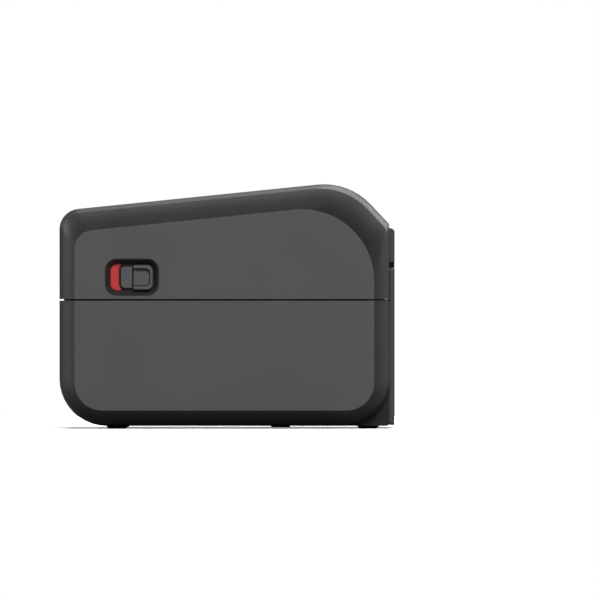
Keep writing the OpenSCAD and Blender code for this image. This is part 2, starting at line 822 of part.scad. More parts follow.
module roll_hub() {
    difference() {
        union() {
            rod_y(roll_x, roll_z, clear - guide_open, 3.3 - guide_open, hub_d);
            translate([roll_x, 3.3 - guide_open, roll_z]) rotate([-90, 0, 0])
                cylinder(d1 = hub_tip_d + 4, d2 = hub_tip_d, h = 5);
        }
        rod_y(roll_x, roll_z, -guide_open - 1, 10 - guide_open, hub_pin_d + 2 * run);
    }
}

module turned() {
    translate([roll_x, 0, 0]) rotate([0, 0, 180]) translate([-roll_x, 0, 0]) children();
}

module rack_pinion() color("#d9d6cc") translate([roll_x, 0, rack_z]) difference() {
    linear_extrude(rack_h)
        polygon(gear_outline(rack_module, rack_pinion_teeth, 180 / rack_pinion_teeth));
    translate([0, 0, -1]) cylinder(d = stud_d + 2 * run, h = rack_h + 2);
}

module rack_stud() color("#b9bcc0") translate([roll_x, 0, floor_z]) {
    cylinder(d = stud_d + 4, h = rack_z - clear - floor_z);
    cylinder(d = stud_d, h = rack_z + rack_h + clear - floor_z);
    translate([0, 0, rack_z + rack_h + clear - floor_z]) cylinder(d = stud_d + 3, h = 0.8);
}

// ---------------------------------------------------------------- electronics and ports

module main_board() color("#1f5a3a") {
    difference() {
        block([board_x0, -board_half_w, board_z], [board_x1, board_half_w, port_z]);
        for (p = board_screws) for (s = [-1, 1])
            translate([p[0], s * p[1], board_z - 1]) cylinder(d = screw_d + 0.2, h = 4);
    }
    block([board_x0 + 12, 16, port_z], [board_x0 + 26, 30, port_z + 1.6]);
    block([board_x0 + 10, -20, port_z], [board_x0 + 20, -8, port_z + 1.4]);
    block([board_x0 + 3, -44, port_z], [board_x0 + 9, -26, port_z + 6]);
    for (y = [-40, -31]) translate([board_x0 + 18, y, port_z]) cylinder(d = 8, h = 10);
}

// Barrel socket with its centre pin, open to the rear
module dc_inlet() color("#18181a") {
    difference() {
        block([port_face - 14, dc_y - dc_w / 2, port_z],
            [port_face, dc_y + dc_w / 2, port_z + dc_h]);
        rod_x(dc_y, port_z + dc_h / 2, port_face - 10, port_face + 1, 6.2);
    }
    rod_x(dc_y, port_z + dc_h / 2, port_face - 10.5, port_face - 1.5, 2);
}

// Square data socket, open to the rear
module usb_port() color("#c9cbcd") {
    difference() {
        block([port_face - 16, usb_y - usb_w / 2, port_z],
            [port_face, usb_y + usb_w / 2, port_z + usb_h]);
        translate([port_face - 12, usb_y, port_z + usb_h / 2]) rotate([90, 0, 90])
            linear_extrude(13) polygon([
                [-4.3, -4.1], [4.3, -4.1], [4.3, 2.2], [2.6, 4.1], [-2.6, 4.1], [-4.3, 2.2]
            ]);
    }
    block([port_face - 12.5, usb_y - 2.8, port_z + usb_h / 2 - 1.6],
        [port_face - 2, usb_y + 2.8, port_z + usb_h / 2 + 1.4]);
}

// Network socket with its latch notch
module ethernet_port() color("#c9cbcd") difference() {
    block([port_face - 17, net_y - net_w / 2, port_z],
        [port_face, net_y + net_w / 2, port_z + net_h]);
    block([port_face - 13, net_y - 5.9, port_z + 4], [port_face + 1, net_y + 5.9, port_z + 11.4]);
    block([port_face - 13, net_y - 3, port_z + 2.4], [port_face + 1, net_y + 3, port_z + 5]);
    block([port_face - 13, net_y - 1.6, port_z + 1], [port_face + 1, net_y + 1.6, port_z + 5]);
}

rocker_r = 7.4;
rocker_w = switch_w - 4;
rocker_t = switch_h - 3.4;
rocker_x = back_x - 1.2 - rocker_r;

module power_switch() color("#161617") difference() {
    union() {
        block([back_x - 17, switch_y - switch_w / 2, switch_z - switch_h / 2],
            [back_x - 0.4, switch_y + switch_w / 2, switch_z + switch_h / 2]);
        block([back_x - switch_sink, switch_y - switch_w / 2 - switch_rim,
                switch_z - switch_h / 2 - switch_rim],
            [back_x - 0.2, switch_y + switch_w / 2 + switch_rim,
                switch_z + switch_h / 2 + switch_rim]);
    }
    block([rocker_x - 5.5, switch_y - rocker_w / 2 - clear, switch_z - rocker_t / 2 - clear],
        [back_x + 1, switch_y + rocker_w / 2 + clear, switch_z + rocker_t / 2 + clear]);
    translate([rocker_x, switch_y, switch_z - switch_h / 2 + 0.4])
        cylinder(d = 2 + 2 * run, h = switch_h - 0.8);
}

// Rocker at off, its left end pressed in; it turns about a vertical axle
module power_rocker() color("#202022") {
    reach = rocker_w / 2 - 0.2;
    translate([rocker_x, switch_y, switch_z - rocker_t / 2])
        rotate([0, 0, -rocker_swing / 2]) linear_extrude(rocker_t) difference() {
            intersection() {
                circle(r = rocker_r);
                polygon([[-3, -3], [-3, 3], [0, reach], [6.4, reach - 0.9], [4.6, 0],
                    [6.4, 0.9 - reach], [0, -reach]]);
            }
        }
    translate([rocker_x, switch_y, switch_z - switch_h / 2 + 0.6])
        cylinder(d = 2, h = switch_h - 1.2);
}

flange_x = in_x + 1.5 + clear;
flange_t = 1;

module feed_button() color("#3c3d40") difference() {
    union() {
        rod_x(-button_y, button_z, front_x + 0.2, flange_x + 0.2, button_d);
        rod_x(-button_y, button_z, flange_x, flange_x + flange_t, button_d + 2.6);
    }
    translate([front_x - 24, -button_y, button_z]) sphere(r = 24.6, $fn = 64);
}

module status_ring() color("#dfe6ea") difference() {
    union() {
        rod_x(-button_y, button_z, front_x + 0.1, in_x + 1.5, ring_d);
        rod_x(-button_y, button_z, in_x, in_x + 1.5, ring_d + 2.4);
    }
    rod_x(-button_y, button_z, front_x - 1, in_x + 2, ring_bore);
}

module button_board() color("#1f5a3a") {
    block([button_board_x, -button_y - 18, button_z - 7],
        [button_board_x + pcb_t, 18 - button_y, button_z + 7]);
    block([button_board_x - 1.6, -button_y - 3, button_z - 3],
        [button_board_x, 3 - button_y, button_z + 3]);
    rod_x(-button_y, button_z, flange_x + flange_t + button_travel + 0.2,
        button_board_x - 1.6, 3);
}

module screws() color("#a5a8ab") {
    for (p = chassis_screws) for (s = [-1, 1]) translate([p[0], s * p[1], 0]) {
        translate([0, 0, foot_h + 1]) cylinder(d = screw_d - 0.1, h = wall + 1.8);
        translate([0, 0, floor_z + 2.6]) cylinder(d = 6, h = 2);
    }
    for (p = board_screws) for (s = [-1, 1]) translate([p[0], s * p[1], 0]) {
        translate([0, 0, floor_z + 0.4]) cylinder(d = screw_d - 0.1, h = port_z - floor_z);
        translate([0, 0, port_z]) cylinder(d = 6, h = 2);
    }
}

// ---------------------------------------------------------------- lid

lid_rib_t = 2.5;
lid_rib_x0 = front_x + front_top_r + 1.5;
lid_rib_x1 = pivot_x + 14;
lid_lip_y = lip_in - clear;
lid_lip_x1 = rear_x - panel_margin;
lid_lip_top = lid_bottom + 3.4;
frame_plate_top = frame_plate_z + frame_plate_t;
ledge_x = stem_x + hook_tail + 1;
ledge_z = hook_z - 12.5;

module bezel_outline(grow) {
    polygon(rounded_rect(bezel_x0 - grow, bezel_x1 + grow, bezel_z0 - grow,
        bezel_z1 + grow, bezel_r + grow));
}

module lid_walls() {
    difference() {
        intersection() {
            housing(0, 5);
            block([-far, -far, lid_bottom], [lid_rear, far, far]);
        }
        housing(wall, 3);
    }
}

// Ribs that carry the head frame, hook bosses and spring ledges, on the right
module lid_mounts() {
    slab(-lid_rib_y - lid_rib_t, -lid_rib_y) polygon([
        [lid_rib_x0, frame_plate_top], [lid_rib_x1, frame_plate_top],
        [lid_rib_x1, roof(lid_rib_x1, wall / 2)], [lid_rib_x0, roof(lid_rib_x0, wall / 2)]
    ]);
    rod_y(stem_x, hook_z, -in_y - 0.5, -hook_out - clear, hook_pin_d + 5);
    block([ledge_x - 2.7, -in_y - 0.5, ledge_z - 2.5], [ledge_x + 2.7, 0.4 - hook_in, ledge_z]);
    block([lip_x1 + lip_t, -in_y - 0.5, lid_bottom + 0.8],
        [lid_lip_x1, lip_t - lid_lip_y, lid_lip_top]);
    block([lip_x1 - 2, -lid_lip_y, base_top - 1.6], [lid_lip_x1, lip_t - lid_lip_y, lid_lip_top]);
}

module lid_shell() color("#2c2c2e") difference() {
    union() {
        lid_walls();
        both() lid_mounts();
    }
    block([front_x - 1, -mouth_half, lid_bottom - 1], [in_x + 0.5, mouth_half, mouth_high]);
    both() slab(-half_w - 1, -in_y + 1) bezel_outline(seat);
    rod_y(hinge_x, hinge_z, -barrel_end - seat, barrel_end + seat, 2 * (hinge_r + 0.1));
    both() rod_y(hinge_x, hinge_z, -knuckle_out - clear, clear - knuckle_in,
        2 * (hinge_r + 0.4));
    both() rod_y(stem_x, hook_z, -in_y - 0.2, -hook_in, hook_pin_d);
}

// Rear plate of the lid with the lid's share of the hinge barrel
module lid_strip() color("#262628") difference() {
    union() {
        slab(-plate_half_w, plate_half_w) polygon(rounded([
            [lid_rear, hinge_z, 0, 0], [back_x, hinge_z, 0, 0],
            [back_x, strip_top_z, plate_t - 0.4, 5], [lid_rear, strip_top_z, 0, 0]
        ]));
        rod_y(hinge_x, hinge_z, -barrel_end, barrel_end, 2 * hinge_r);
    }
    both() block([lid_rear - far, -far, -far], [far, -barrel_end, hinge_z + 0.3]);
    both() rod_y(hinge_x, hinge_z, -knuckle_out - clear, clear - knuckle_in,
        2 * (hinge_r + 0.4));
    both() block([lid_rear - 1, -knuckle_out - clear, hinge_z - hinge_r - 1],
        [back_x + 1, clear - knuckle_in, hinge_z + hinge_r + 0.5]);
    both() rod_y(hinge_x, hinge_z, 1.5 - barrel_end, 8.5 - knuckle_in,
        hinge_pin_d + 2 * run);
}

// ---------------------------------------------------------------- side latch, right

module latch_bezel() difference() {
    slab(-half_w, -bezel_back) bezel_outline(0);
    hull() {
        slab(-half_w - 1, 0.3 - half_w) bezel_outline(-0.6);
        slab(-bezel_floor - 0.4, -bezel_floor) bezel_outline(-funnel);
    }
    slab(-bezel_floor - 0.2, marker_t - bezel_floor) marker_outline(seat);
    slab(-bezel_floor - 1, 1 - bezel_back) polygon(rounded_rect(
        stem_x - latch_travel - stem_d / 2 - clear, stem_x + stem_d / 2 + clear,
        latch_z - stem_d / 2 - clear, latch_z + stem_d / 2 + clear, 2));
}

marker_t = 0.7;
marker_x1 = stem_x - latch_travel - stem_d / 2 - 1;

module marker_outline(grow) {
    x0 = bezel_x0 + funnel + 0.3 - grow;
    z0 = bezel_z0 + funnel + 0.3 - grow;
    z1 = bezel_z1 - funnel - 0.3 + grow;
    r = bezel_r - funnel;
    polygon(rounded([[x0, z0, r, 5], [marker_x1 + grow, z0, 0, 0],
        [marker_x1 + grow, z1, 0, 0], [x0, z1, r, 5]]));
}

module latch_marker() slab(-bezel_floor, marker_t - bezel_floor) marker_outline(0);

grip_x0 = slider_x0 + 8.2;
tongue_h = 13.9;
grip_h = 15.8;
grip_top = half_w - 0.6;
slider_back = bezel_floor + clear;

// Sliding grip: a low tongue in front, a raised pad with a finger dish, and the stem
module latch_slider() difference() {
    union() {
        slab(-slider_back - 1.2, -slider_back) polygon(rounded([
            [slider_x0, latch_z - tongue_h / 2, 2.3, 5], [grip_x0 + 2, latch_z - tongue_h / 2, 0, 0],
            [grip_x0 + 2, latch_z + tongue_h / 2, 0, 0], [slider_x0, latch_z + tongue_h / 2, 2.3, 5]
        ]));
        slab(-grip_top, -slider_back) polygon(rounded([
            [grip_x0, latch_z - grip_h / 2, 1, 3], [slider_x1, latch_z - grip_h / 2, 3.6, 6],
            [slider_x1, latch_z + grip_h / 2, 3.6, 6], [grip_x0, latch_z + grip_h / 2, 1, 3]
        ]));
        rod_y(stem_x, latch_z, -slider_back, 1.2 - hook_in, stem_d);
    }
    slab(-grip_top - 1, 1.8 - grip_top) polygon(rounded([
        [grip_x0 - 1, latch_z - 5.7, 0, 0], [slider_x1 - 1.5, latch_z - 5.7, 5.4, 8],
        [slider_x1 - 1.5, latch_z + 5.7, 5.4, 8], [grip_x0 - 1, latch_z + 5.7, 0, 0]
    ]));
}

// Hook lever: pivot eye, spring tail, fork slot for the slider's stem and the nose
module latch_hook() difference() {
    slab(-hook_out, -hook_in) difference() {
        union() {
            translate([stem_x, hook_z]) circle(r = 5.2);
            polygon(rounded([
                [stem_x - 4.6, hook_z, 0, 0], [stem_x - 4.6, latch_z - 5, 4, 4],
                [stem_x - 2.6, nose_top - 3, 3, 4], [stem_x - 1.2, nose_top - nose_h, 1.5, 4],
                [stem_x + nose_l - 3.5, nose_top - nose_h, 1, 3],
                [stem_x + nose_l, nose_top - 1.6, 0.8, 3], [stem_x + nose_l, nose_top, 0.5, 3],
                [stem_x + 3, nose_top, 1.2, 4], [stem_x + 4.6, latch_z - 5, 4, 4],
                [stem_x + 4.6, hook_z, 0, 0]
            ]));
            polygon(rounded([
                [stem_x, hook_z - 2, 0, 0], [stem_x + hook_tail + 3.6, hook_z - 2, 1.5, 4],
                [stem_x + hook_tail + 3.6, hook_z + 2, 1.5, 4], [stem_x, hook_z + 2, 0, 0]
            ]));
        }
        fork = stem_d / 2 + clear;
        polygon(rounded_rect(stem_x - fork, stem_x + fork, latch_z - fork - 1.3,
            latch_z + fork, fork - 0.1));
    }
    rod_y(stem_x, hook_z, -hook_out - 1, 1 - hook_in, hook_pin_d + 2 * run);
}

module hook_pins() color("#b9bcc0") both() {
    rod_y(stem_x, hook_z, 0.2 - in_y, 1.6 - hook_in, hook_pin_d);
    rod_y(stem_x, hook_z, clear - hook_in, 1.6 - hook_in, hook_pin_d + 3);
}

// Compression spring along Z, standing on [x, y, z]
module spring(x, y, z, height, coil_r, wire_r, turns) {
    steps = turns * 12;
    sides = 6;
    rings = [for (i = [0:steps]) [for (k = [0:sides - 1])
        let (a = 30 * i, b = 360 * k / sides, r = coil_r + wire_r * cos(b))
        [x + r * cos(a), y + r * sin(a),
            z + wire_r + (height - 2 * wire_r) * i / steps + wire_r * sin(b)]]];
    polyhedron(
        points = [for (r = rings) each r],
        faces = concat(
            [for (i = [0:steps - 1]) for (k = [0:sides - 1])
                let (p = i * sides + k, q = i * sides + (k + 1) % sides)
                each [[p, q + sides, p + sides], [p, q, q + sides]]],
            [[for (k = [sides - 1:-1:0]) k]],
            [[for (k = [0:sides - 1]) steps * sides + k]]
        )
    );
}

module latch_spring()
    spring(ledge_x, -(hook_in + hook_out) / 2, ledge_z, hook_z - 2 - ledge_z, 1.9, 0.35, 5);

// ---------------------------------------------------------------- print head

ear_y = head_l / 2 + 1.5;
ear_t = 3;
spring_x = head_front + 5;
spring_y = 34;
head_top = head_z + board_t + head_h;

module head_frame() color("#9a9da1") {
    block([platen_x - 7, -lid_rib_y - lid_rib_t, frame_plate_z],
        [lid_rib_x1, lid_rib_y + lid_rib_t, frame_plate_top]);
    both() difference() {
        slab(-ear_y - ear_t, -ear_y) polygon(rounded([
            [pivot_x - 4, pivot_z - 4, 3.5, 5], [pivot_x + 4, pivot_z - 4, 3.5, 5],
            [pivot_x + 9, frame_plate_z, 0, 0], [pivot_x - 9, frame_plate_z, 0, 0]
        ]));
        rod_y(pivot_x, pivot_z, -ear_y - ear_t - 1, 1 - ear_y, head_pin_d);
    }
}

module head_pivot_pin() color("#b9bcc0")
    rod_y(pivot_x, pivot_z, -ear_y - ear_t - 0.8, ear_y + ear_t + 0.8, head_pin_d - 0.02);

// Heat sink of the print head with cooling slots along its top
module print_head() color("#b4b7ba") difference() {
    slab(-head_l / 2, head_l / 2) difference() {
        union() {
            polygon(rounded([
                [head_front, head_z + board_t, 1, 3], [head_back, head_z + board_t, 1, 3],
                [head_back, head_top, 1, 3], [head_front, head_top, 1, 3]
            ]));
            translate([pivot_x, pivot_z]) circle(r = 4);
        }
        for (i = [0:2]) translate([head_front + 10 + 3 * i, head_top - 4]) square([1.4, 5]);
    }
    rod_y(pivot_x, pivot_z, -head_l, head_l, head_pin_d + 2 * run);
}

module head_board() color("#e8e6df")
    block([head_front + 0.4, -head_l / 2, head_z], [head_front + 13, head_l / 2, head_z + board_t]);

module head_springs() color("#c9cbcd") both()
    spring(spring_x, -spring_y, head_top, frame_plate_z - head_top, 3, 0.45, 4);

// ---------------------------------------------------------------- nodes

base_shell();
rear_panel();
rubber_feet();
chassis();
roll_tray();
label_deck();
tear_bar();
platen_bearings();
platen_shaft();
platen_rubber();
platen_gear();
idler_stud();
idler_gear();
stepper_motor();
motor_shaft();
motor_pinion();
rack_pinion();
rack_stud();
color("#4a4b4e") roll_guide();  // roll_guide_right
color("#4a4b4e") turned() roll_guide();  // roll_guide_left
color("#1d1d1f") roll_hub();  // roll_hub_right
color("#1d1d1f") turned() roll_hub();  // roll_hub_left
sensor_rail();
label_sensor();
main_board();
dc_inlet();
usb_port();
ethernet_port();
power_switch();
power_rocker();
feed_button();
status_ring();
button_board();
screws();
latch_strikes();
hinge_pins();
lid_shell();
lid_strip();
color("#161617") latch_bezel();  // latch_bezel_right
color("#161617") left() latch_bezel();  // latch_bezel_left
color("#b83c3c") latch_marker();  // latch_marker_right
color("#b83c3c") left() latch_marker();  // latch_marker_left
color("#555557") latch_slider();  // latch_slider_right
color("#555557") left() latch_slider();  // latch_slider_left
color("#9a9da1") latch_hook();  // latch_hook_right
color("#9a9da1") left() latch_hook();  // latch_hook_left
hook_pins();
color("#c9cbcd") latch_spring();  // latch_spring_right
color("#c9cbcd") left() latch_spring();  // latch_spring_left
head_frame();
head_pivot_pin();
print_head();
head_board();
head_springs();
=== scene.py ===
"""Direct thermal label printer: surface finishes, small fittings, studio and camera.

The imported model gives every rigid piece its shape. Each class below dresses one
sub-assembly of the printer, and adds the fine fittings that sit on it.
"""

import json
import logging
import math
from collections.abc import Mapping, Sequence
from dataclasses import dataclass, field
from enum import Enum
from functools import cache

import bmesh
import bpy
from mathutils import Matrix, Vector
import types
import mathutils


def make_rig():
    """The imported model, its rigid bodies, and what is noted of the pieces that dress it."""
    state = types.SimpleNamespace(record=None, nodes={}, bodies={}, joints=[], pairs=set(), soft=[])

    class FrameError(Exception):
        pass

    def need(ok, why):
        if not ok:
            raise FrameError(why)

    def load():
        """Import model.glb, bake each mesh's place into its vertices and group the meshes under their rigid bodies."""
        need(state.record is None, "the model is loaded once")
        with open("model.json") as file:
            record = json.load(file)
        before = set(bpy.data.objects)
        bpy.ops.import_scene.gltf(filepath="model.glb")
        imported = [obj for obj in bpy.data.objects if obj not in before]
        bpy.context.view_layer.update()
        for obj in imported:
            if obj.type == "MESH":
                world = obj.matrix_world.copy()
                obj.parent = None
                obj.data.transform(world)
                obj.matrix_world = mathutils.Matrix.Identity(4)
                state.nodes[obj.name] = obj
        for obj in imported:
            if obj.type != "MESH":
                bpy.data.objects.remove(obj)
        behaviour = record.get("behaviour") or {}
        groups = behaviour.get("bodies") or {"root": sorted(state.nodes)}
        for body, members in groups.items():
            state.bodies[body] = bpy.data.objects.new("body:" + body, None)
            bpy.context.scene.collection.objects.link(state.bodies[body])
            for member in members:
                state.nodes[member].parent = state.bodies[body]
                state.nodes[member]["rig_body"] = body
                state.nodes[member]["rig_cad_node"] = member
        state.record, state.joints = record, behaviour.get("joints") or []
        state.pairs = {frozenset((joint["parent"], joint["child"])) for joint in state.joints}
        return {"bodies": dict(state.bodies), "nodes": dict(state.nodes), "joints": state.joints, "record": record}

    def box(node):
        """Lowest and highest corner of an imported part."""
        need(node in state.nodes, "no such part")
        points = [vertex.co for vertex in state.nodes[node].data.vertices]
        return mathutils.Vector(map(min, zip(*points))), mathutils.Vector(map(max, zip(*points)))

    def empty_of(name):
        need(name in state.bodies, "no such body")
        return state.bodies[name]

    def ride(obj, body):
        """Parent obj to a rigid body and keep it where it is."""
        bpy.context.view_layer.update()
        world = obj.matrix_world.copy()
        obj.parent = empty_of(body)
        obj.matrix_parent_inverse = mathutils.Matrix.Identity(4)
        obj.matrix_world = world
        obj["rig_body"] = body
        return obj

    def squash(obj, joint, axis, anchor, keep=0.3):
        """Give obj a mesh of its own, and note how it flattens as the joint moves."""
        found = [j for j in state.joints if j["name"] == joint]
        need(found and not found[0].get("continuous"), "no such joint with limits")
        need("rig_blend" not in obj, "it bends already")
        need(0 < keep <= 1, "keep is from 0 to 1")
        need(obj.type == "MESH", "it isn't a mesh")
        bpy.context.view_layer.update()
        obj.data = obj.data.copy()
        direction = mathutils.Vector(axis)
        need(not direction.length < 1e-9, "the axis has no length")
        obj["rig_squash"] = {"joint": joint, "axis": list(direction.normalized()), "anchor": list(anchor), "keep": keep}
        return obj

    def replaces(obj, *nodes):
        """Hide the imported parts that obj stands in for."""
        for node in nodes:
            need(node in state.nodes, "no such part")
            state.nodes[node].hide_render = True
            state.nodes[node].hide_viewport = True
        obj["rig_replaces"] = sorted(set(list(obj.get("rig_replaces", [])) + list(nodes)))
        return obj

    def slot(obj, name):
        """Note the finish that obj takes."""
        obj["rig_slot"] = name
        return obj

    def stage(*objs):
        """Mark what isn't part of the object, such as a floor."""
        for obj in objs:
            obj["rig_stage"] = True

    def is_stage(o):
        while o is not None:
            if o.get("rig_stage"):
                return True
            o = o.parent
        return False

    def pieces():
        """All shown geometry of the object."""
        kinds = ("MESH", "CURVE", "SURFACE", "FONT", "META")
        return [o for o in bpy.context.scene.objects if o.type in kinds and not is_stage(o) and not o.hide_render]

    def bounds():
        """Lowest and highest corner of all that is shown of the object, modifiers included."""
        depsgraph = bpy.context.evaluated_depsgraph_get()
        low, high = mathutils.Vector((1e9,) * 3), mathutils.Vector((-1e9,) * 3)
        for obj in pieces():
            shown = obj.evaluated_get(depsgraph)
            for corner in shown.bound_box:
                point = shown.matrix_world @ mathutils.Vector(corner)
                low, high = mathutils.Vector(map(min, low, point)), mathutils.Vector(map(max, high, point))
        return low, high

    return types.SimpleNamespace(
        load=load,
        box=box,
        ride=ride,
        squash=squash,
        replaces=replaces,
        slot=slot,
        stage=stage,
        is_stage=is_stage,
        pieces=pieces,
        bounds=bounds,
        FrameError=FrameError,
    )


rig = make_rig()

logging.basicConfig(level=logging.INFO, format="%(message)s")
log = logging.getLogger("label_printer")

for leftover in list(bpy.data.objects):
    bpy.data.objects.remove(leftover)

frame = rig.load()
CAD_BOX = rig.bounds()

Pair = tuple[float, float]
Triple = tuple[float, float, float]
Shape = bmesh.types.BMesh
Socket = bpy.types.NodeSocket
Effect = Mapping[str, Socket]
MM = 0.001
WELD = 0.000002  # metres between vertices that are one
FLAT_ANGLE = 0.2  # degrees between faces that are one
EASED_ANGLE = 32.0  # degrees above which an edge can be eased
FITTING_CREASE, SPRING_CREASE = 35.0, 60.0  # degrees above which an edge stays sharp
WHITE = (1.0, 1.0, 1.0)


class Axis(Enum):
    """Direction along the printer, across it or up."""

    X = 0
    Y = 1
    Z = 2


class Side(Enum):
    """Side of the printer: its right latch is on -Y, its left latch on +Y."""

    RIGHT = -1
    LEFT = 1


# ---------------- shader node groups


def rgba(colour: Triple) -> tuple[float, float, float, float]:
    """Return the linear colour with full alpha."""
    return (*colour, 1.0)


class NodeGraph:
    """A small helper that adds and links nodes in one node tree."""

    def __init__(self, tree: bpy.types.NodeTree) -> None:
        """Keep the tree that the nodes go into."""
        self.tree = tree

    @classmethod
    def fresh(cls, owner: bpy.types.ID) -> "NodeGraph":
        """Empty the node tree of a material or world and wrap it.

        Args:
            owner: The material or world.

        Returns:
            The helper for its tree.
        """
        owner.use_nodes = True
        owner.node_tree.nodes.clear()
        return cls(owner.node_tree)

    def add(self, kind: str, inputs: dict | None = None, **settings: object) -> bpy.types.Node:
        """Add a node.

        Args:
            kind: The node's Blender type name.
            inputs: What its input sockets get: a socket to link, or a constant.
            **settings: Attributes set on the node.

        Returns:
            The new node.
        """
        node = self.tree.nodes.new(kind)
        for key, value in settings.items():
            setattr(node, key, value)
        for key, value in (inputs or {}).items():
            if isinstance(value, Socket):
                self.tree.links.new(value, node.inputs[key])
            else:
                node.inputs[key].default_value = value
        return node

    def place(self) -> Socket:
        """Return the socket with the object coordinates."""
        return self.add("ShaderNodeTexCoord").outputs["Object"]

    def math(self, operation: str, first: object, second: object = 0.0) -> Socket:
        """Return the result of a Math node on one or two sockets or numbers."""
        return self.add("ShaderNodeMath", {0: first, 1: second}, operation=operation).outputs[0]

    def noise(self, place: Socket, scale: object, detail: float = 2.0) -> Socket:
        """Return the value of a noise texture."""
        inputs = {"Vector": place, "Scale": scale, "Detail": detail}
        return self.add("ShaderNodeTexNoise", inputs).outputs["Fac"]

    def ramp(
        self, value: Socket, source: Pair, target: Pair = (0.0, 1.0), kind: str = "LINEAR"
    ) -> Socket:
        """Map a value from one range to another, clamped.

        Args:
            value: The socket with the value.
            source: The range that it comes from.
            target: The range that it is mapped to.
            kind: The kind of interpolation.

        Returns:
            The mapped socket.
        """
        limits = zip(("From Min", "From Max", "To Min", "To Max"), (*source, *target))
        inputs = {"Value": value, **dict(limits)}
        made = self.add("ShaderNodeMapRange", inputs, clamp=True, interpolation_type=kind)
        return made.outputs["Result"]

    def blend(self, mask: Socket, first: object, second: object) -> Socket:
        """Return the mix of two colours, or sockets with them, by a mask."""
        low, high = (rgba(side) if isinstance(side, tuple) else side for side in (first, second))
        return self.add("ShaderNodeMix", {0: mask, 6: low, 7: high}, data_type="RGBA").outputs[2]


def effect_group(name: str, inputs: dict[str, float]) -> tuple[NodeGraph, bpy.types.Node]:
    """Create an empty node group with float sockets, and outputs Height, Gloss and Tone.

    Args:
        name: The group's name.
        inputs: The name and default of each input.

    Returns:
        The group's graph helper and its input node.
    """
    graph = NodeGraph(bpy.data.node_groups.new(name, "ShaderNodeTree"))
    sockets = graph.tree.interface
    for key, default in inputs.items():
        made = sockets.new_socket(key, in_out="INPUT", socket_type="NodeSocketFloat")
        made.default_value = default
    for key in ("Height", "Gloss", "Tone"):
        sockets.new_socket(key, in_out="OUTPUT", socket_type="NodeSocketFloat")
    return graph, graph.add("NodeGroupInput")


@cache
def mould_grain() -> bpy.types.NodeTree:
    """Build the group of a spark-eroded mould texture with a slow drift in tone.

    Returns:
        The group, with input Scale and outputs Height, Gloss and Tone.
    """
    graph, source = effect_group("Mould grain", {"Scale": 1800.0})
    place, scale = graph.place(), source.outputs["Scale"]
    inputs = {"Vector": place, "Scale": scale, "Smoothness": 0.6}
    cells = graph.add("ShaderNodeTexVoronoi", inputs, feature="SMOOTH_F1")
    fine = graph.noise(place, graph.math("MULTIPLY", scale, 2.3), detail=3.0)
    slow = graph.noise(place, scale=22.0, detail=4.0)
    pits = graph.math("MULTIPLY", cells.outputs["Distance"], 0.7)
    graph.add("NodeGroupOutput", {
        "Height": graph.math("ADD", pits, graph.math("MULTIPLY", fine, 0.6)),
        "Gloss": graph.ramp(fine, (0.3, 0.7)),
        "Tone": graph.ramp(slow, (0.34, 0.66)),
    })
    return graph.tree


@cache
def machined_lines() -> bpy.types.NodeTree:
    """Build the group of fine parallel lines left by grinding, drawing or turning.

    Returns:
        The group, with inputs X, Y, Z and Scale, and outputs Height, Gloss and Tone.
    """
    graph, source = effect_group("Machined lines", {"X": 1.0, "Y": 1.0, "Z": 1.0, "Scale": 900.0})
    place = graph.place()
    stretch = graph.add("ShaderNodeCombineXYZ", {axis: source.outputs[axis] for axis in "XYZ"})
    inputs = {0: place, 1: stretch.outputs[0]}
    scaled = graph.add("ShaderNodeVectorMath", inputs, operation="MULTIPLY").outputs[0]
    lines = graph.noise(scaled, source.outputs["Scale"])
    graph.add("NodeGroupOutput", {
        "Height": lines,
        "Gloss": graph.ramp(lines, (0.3, 0.7)),
        "Tone": graph.ramp(graph.noise(place, scale=60.0), (0.35, 0.65)),
    })
    return graph.tree


# ---------------- finishes


@dataclass(frozen=True)
class Zone:
    """A zone of another colour to both sides of a plane through the printer.

    Attributes:
        axis: The direction square to the plane.
        centre: Where the plane crosses it, in metres.
        edge: Distances from the plane at which the zone's colour sets in and is full.
        colour: Linear colour of the zone.
        shade: Linear colour of its slightly darker places.
    """

    axis: Axis
    centre: float
    edge: Pair
    colour: Triple
    shade: Triple


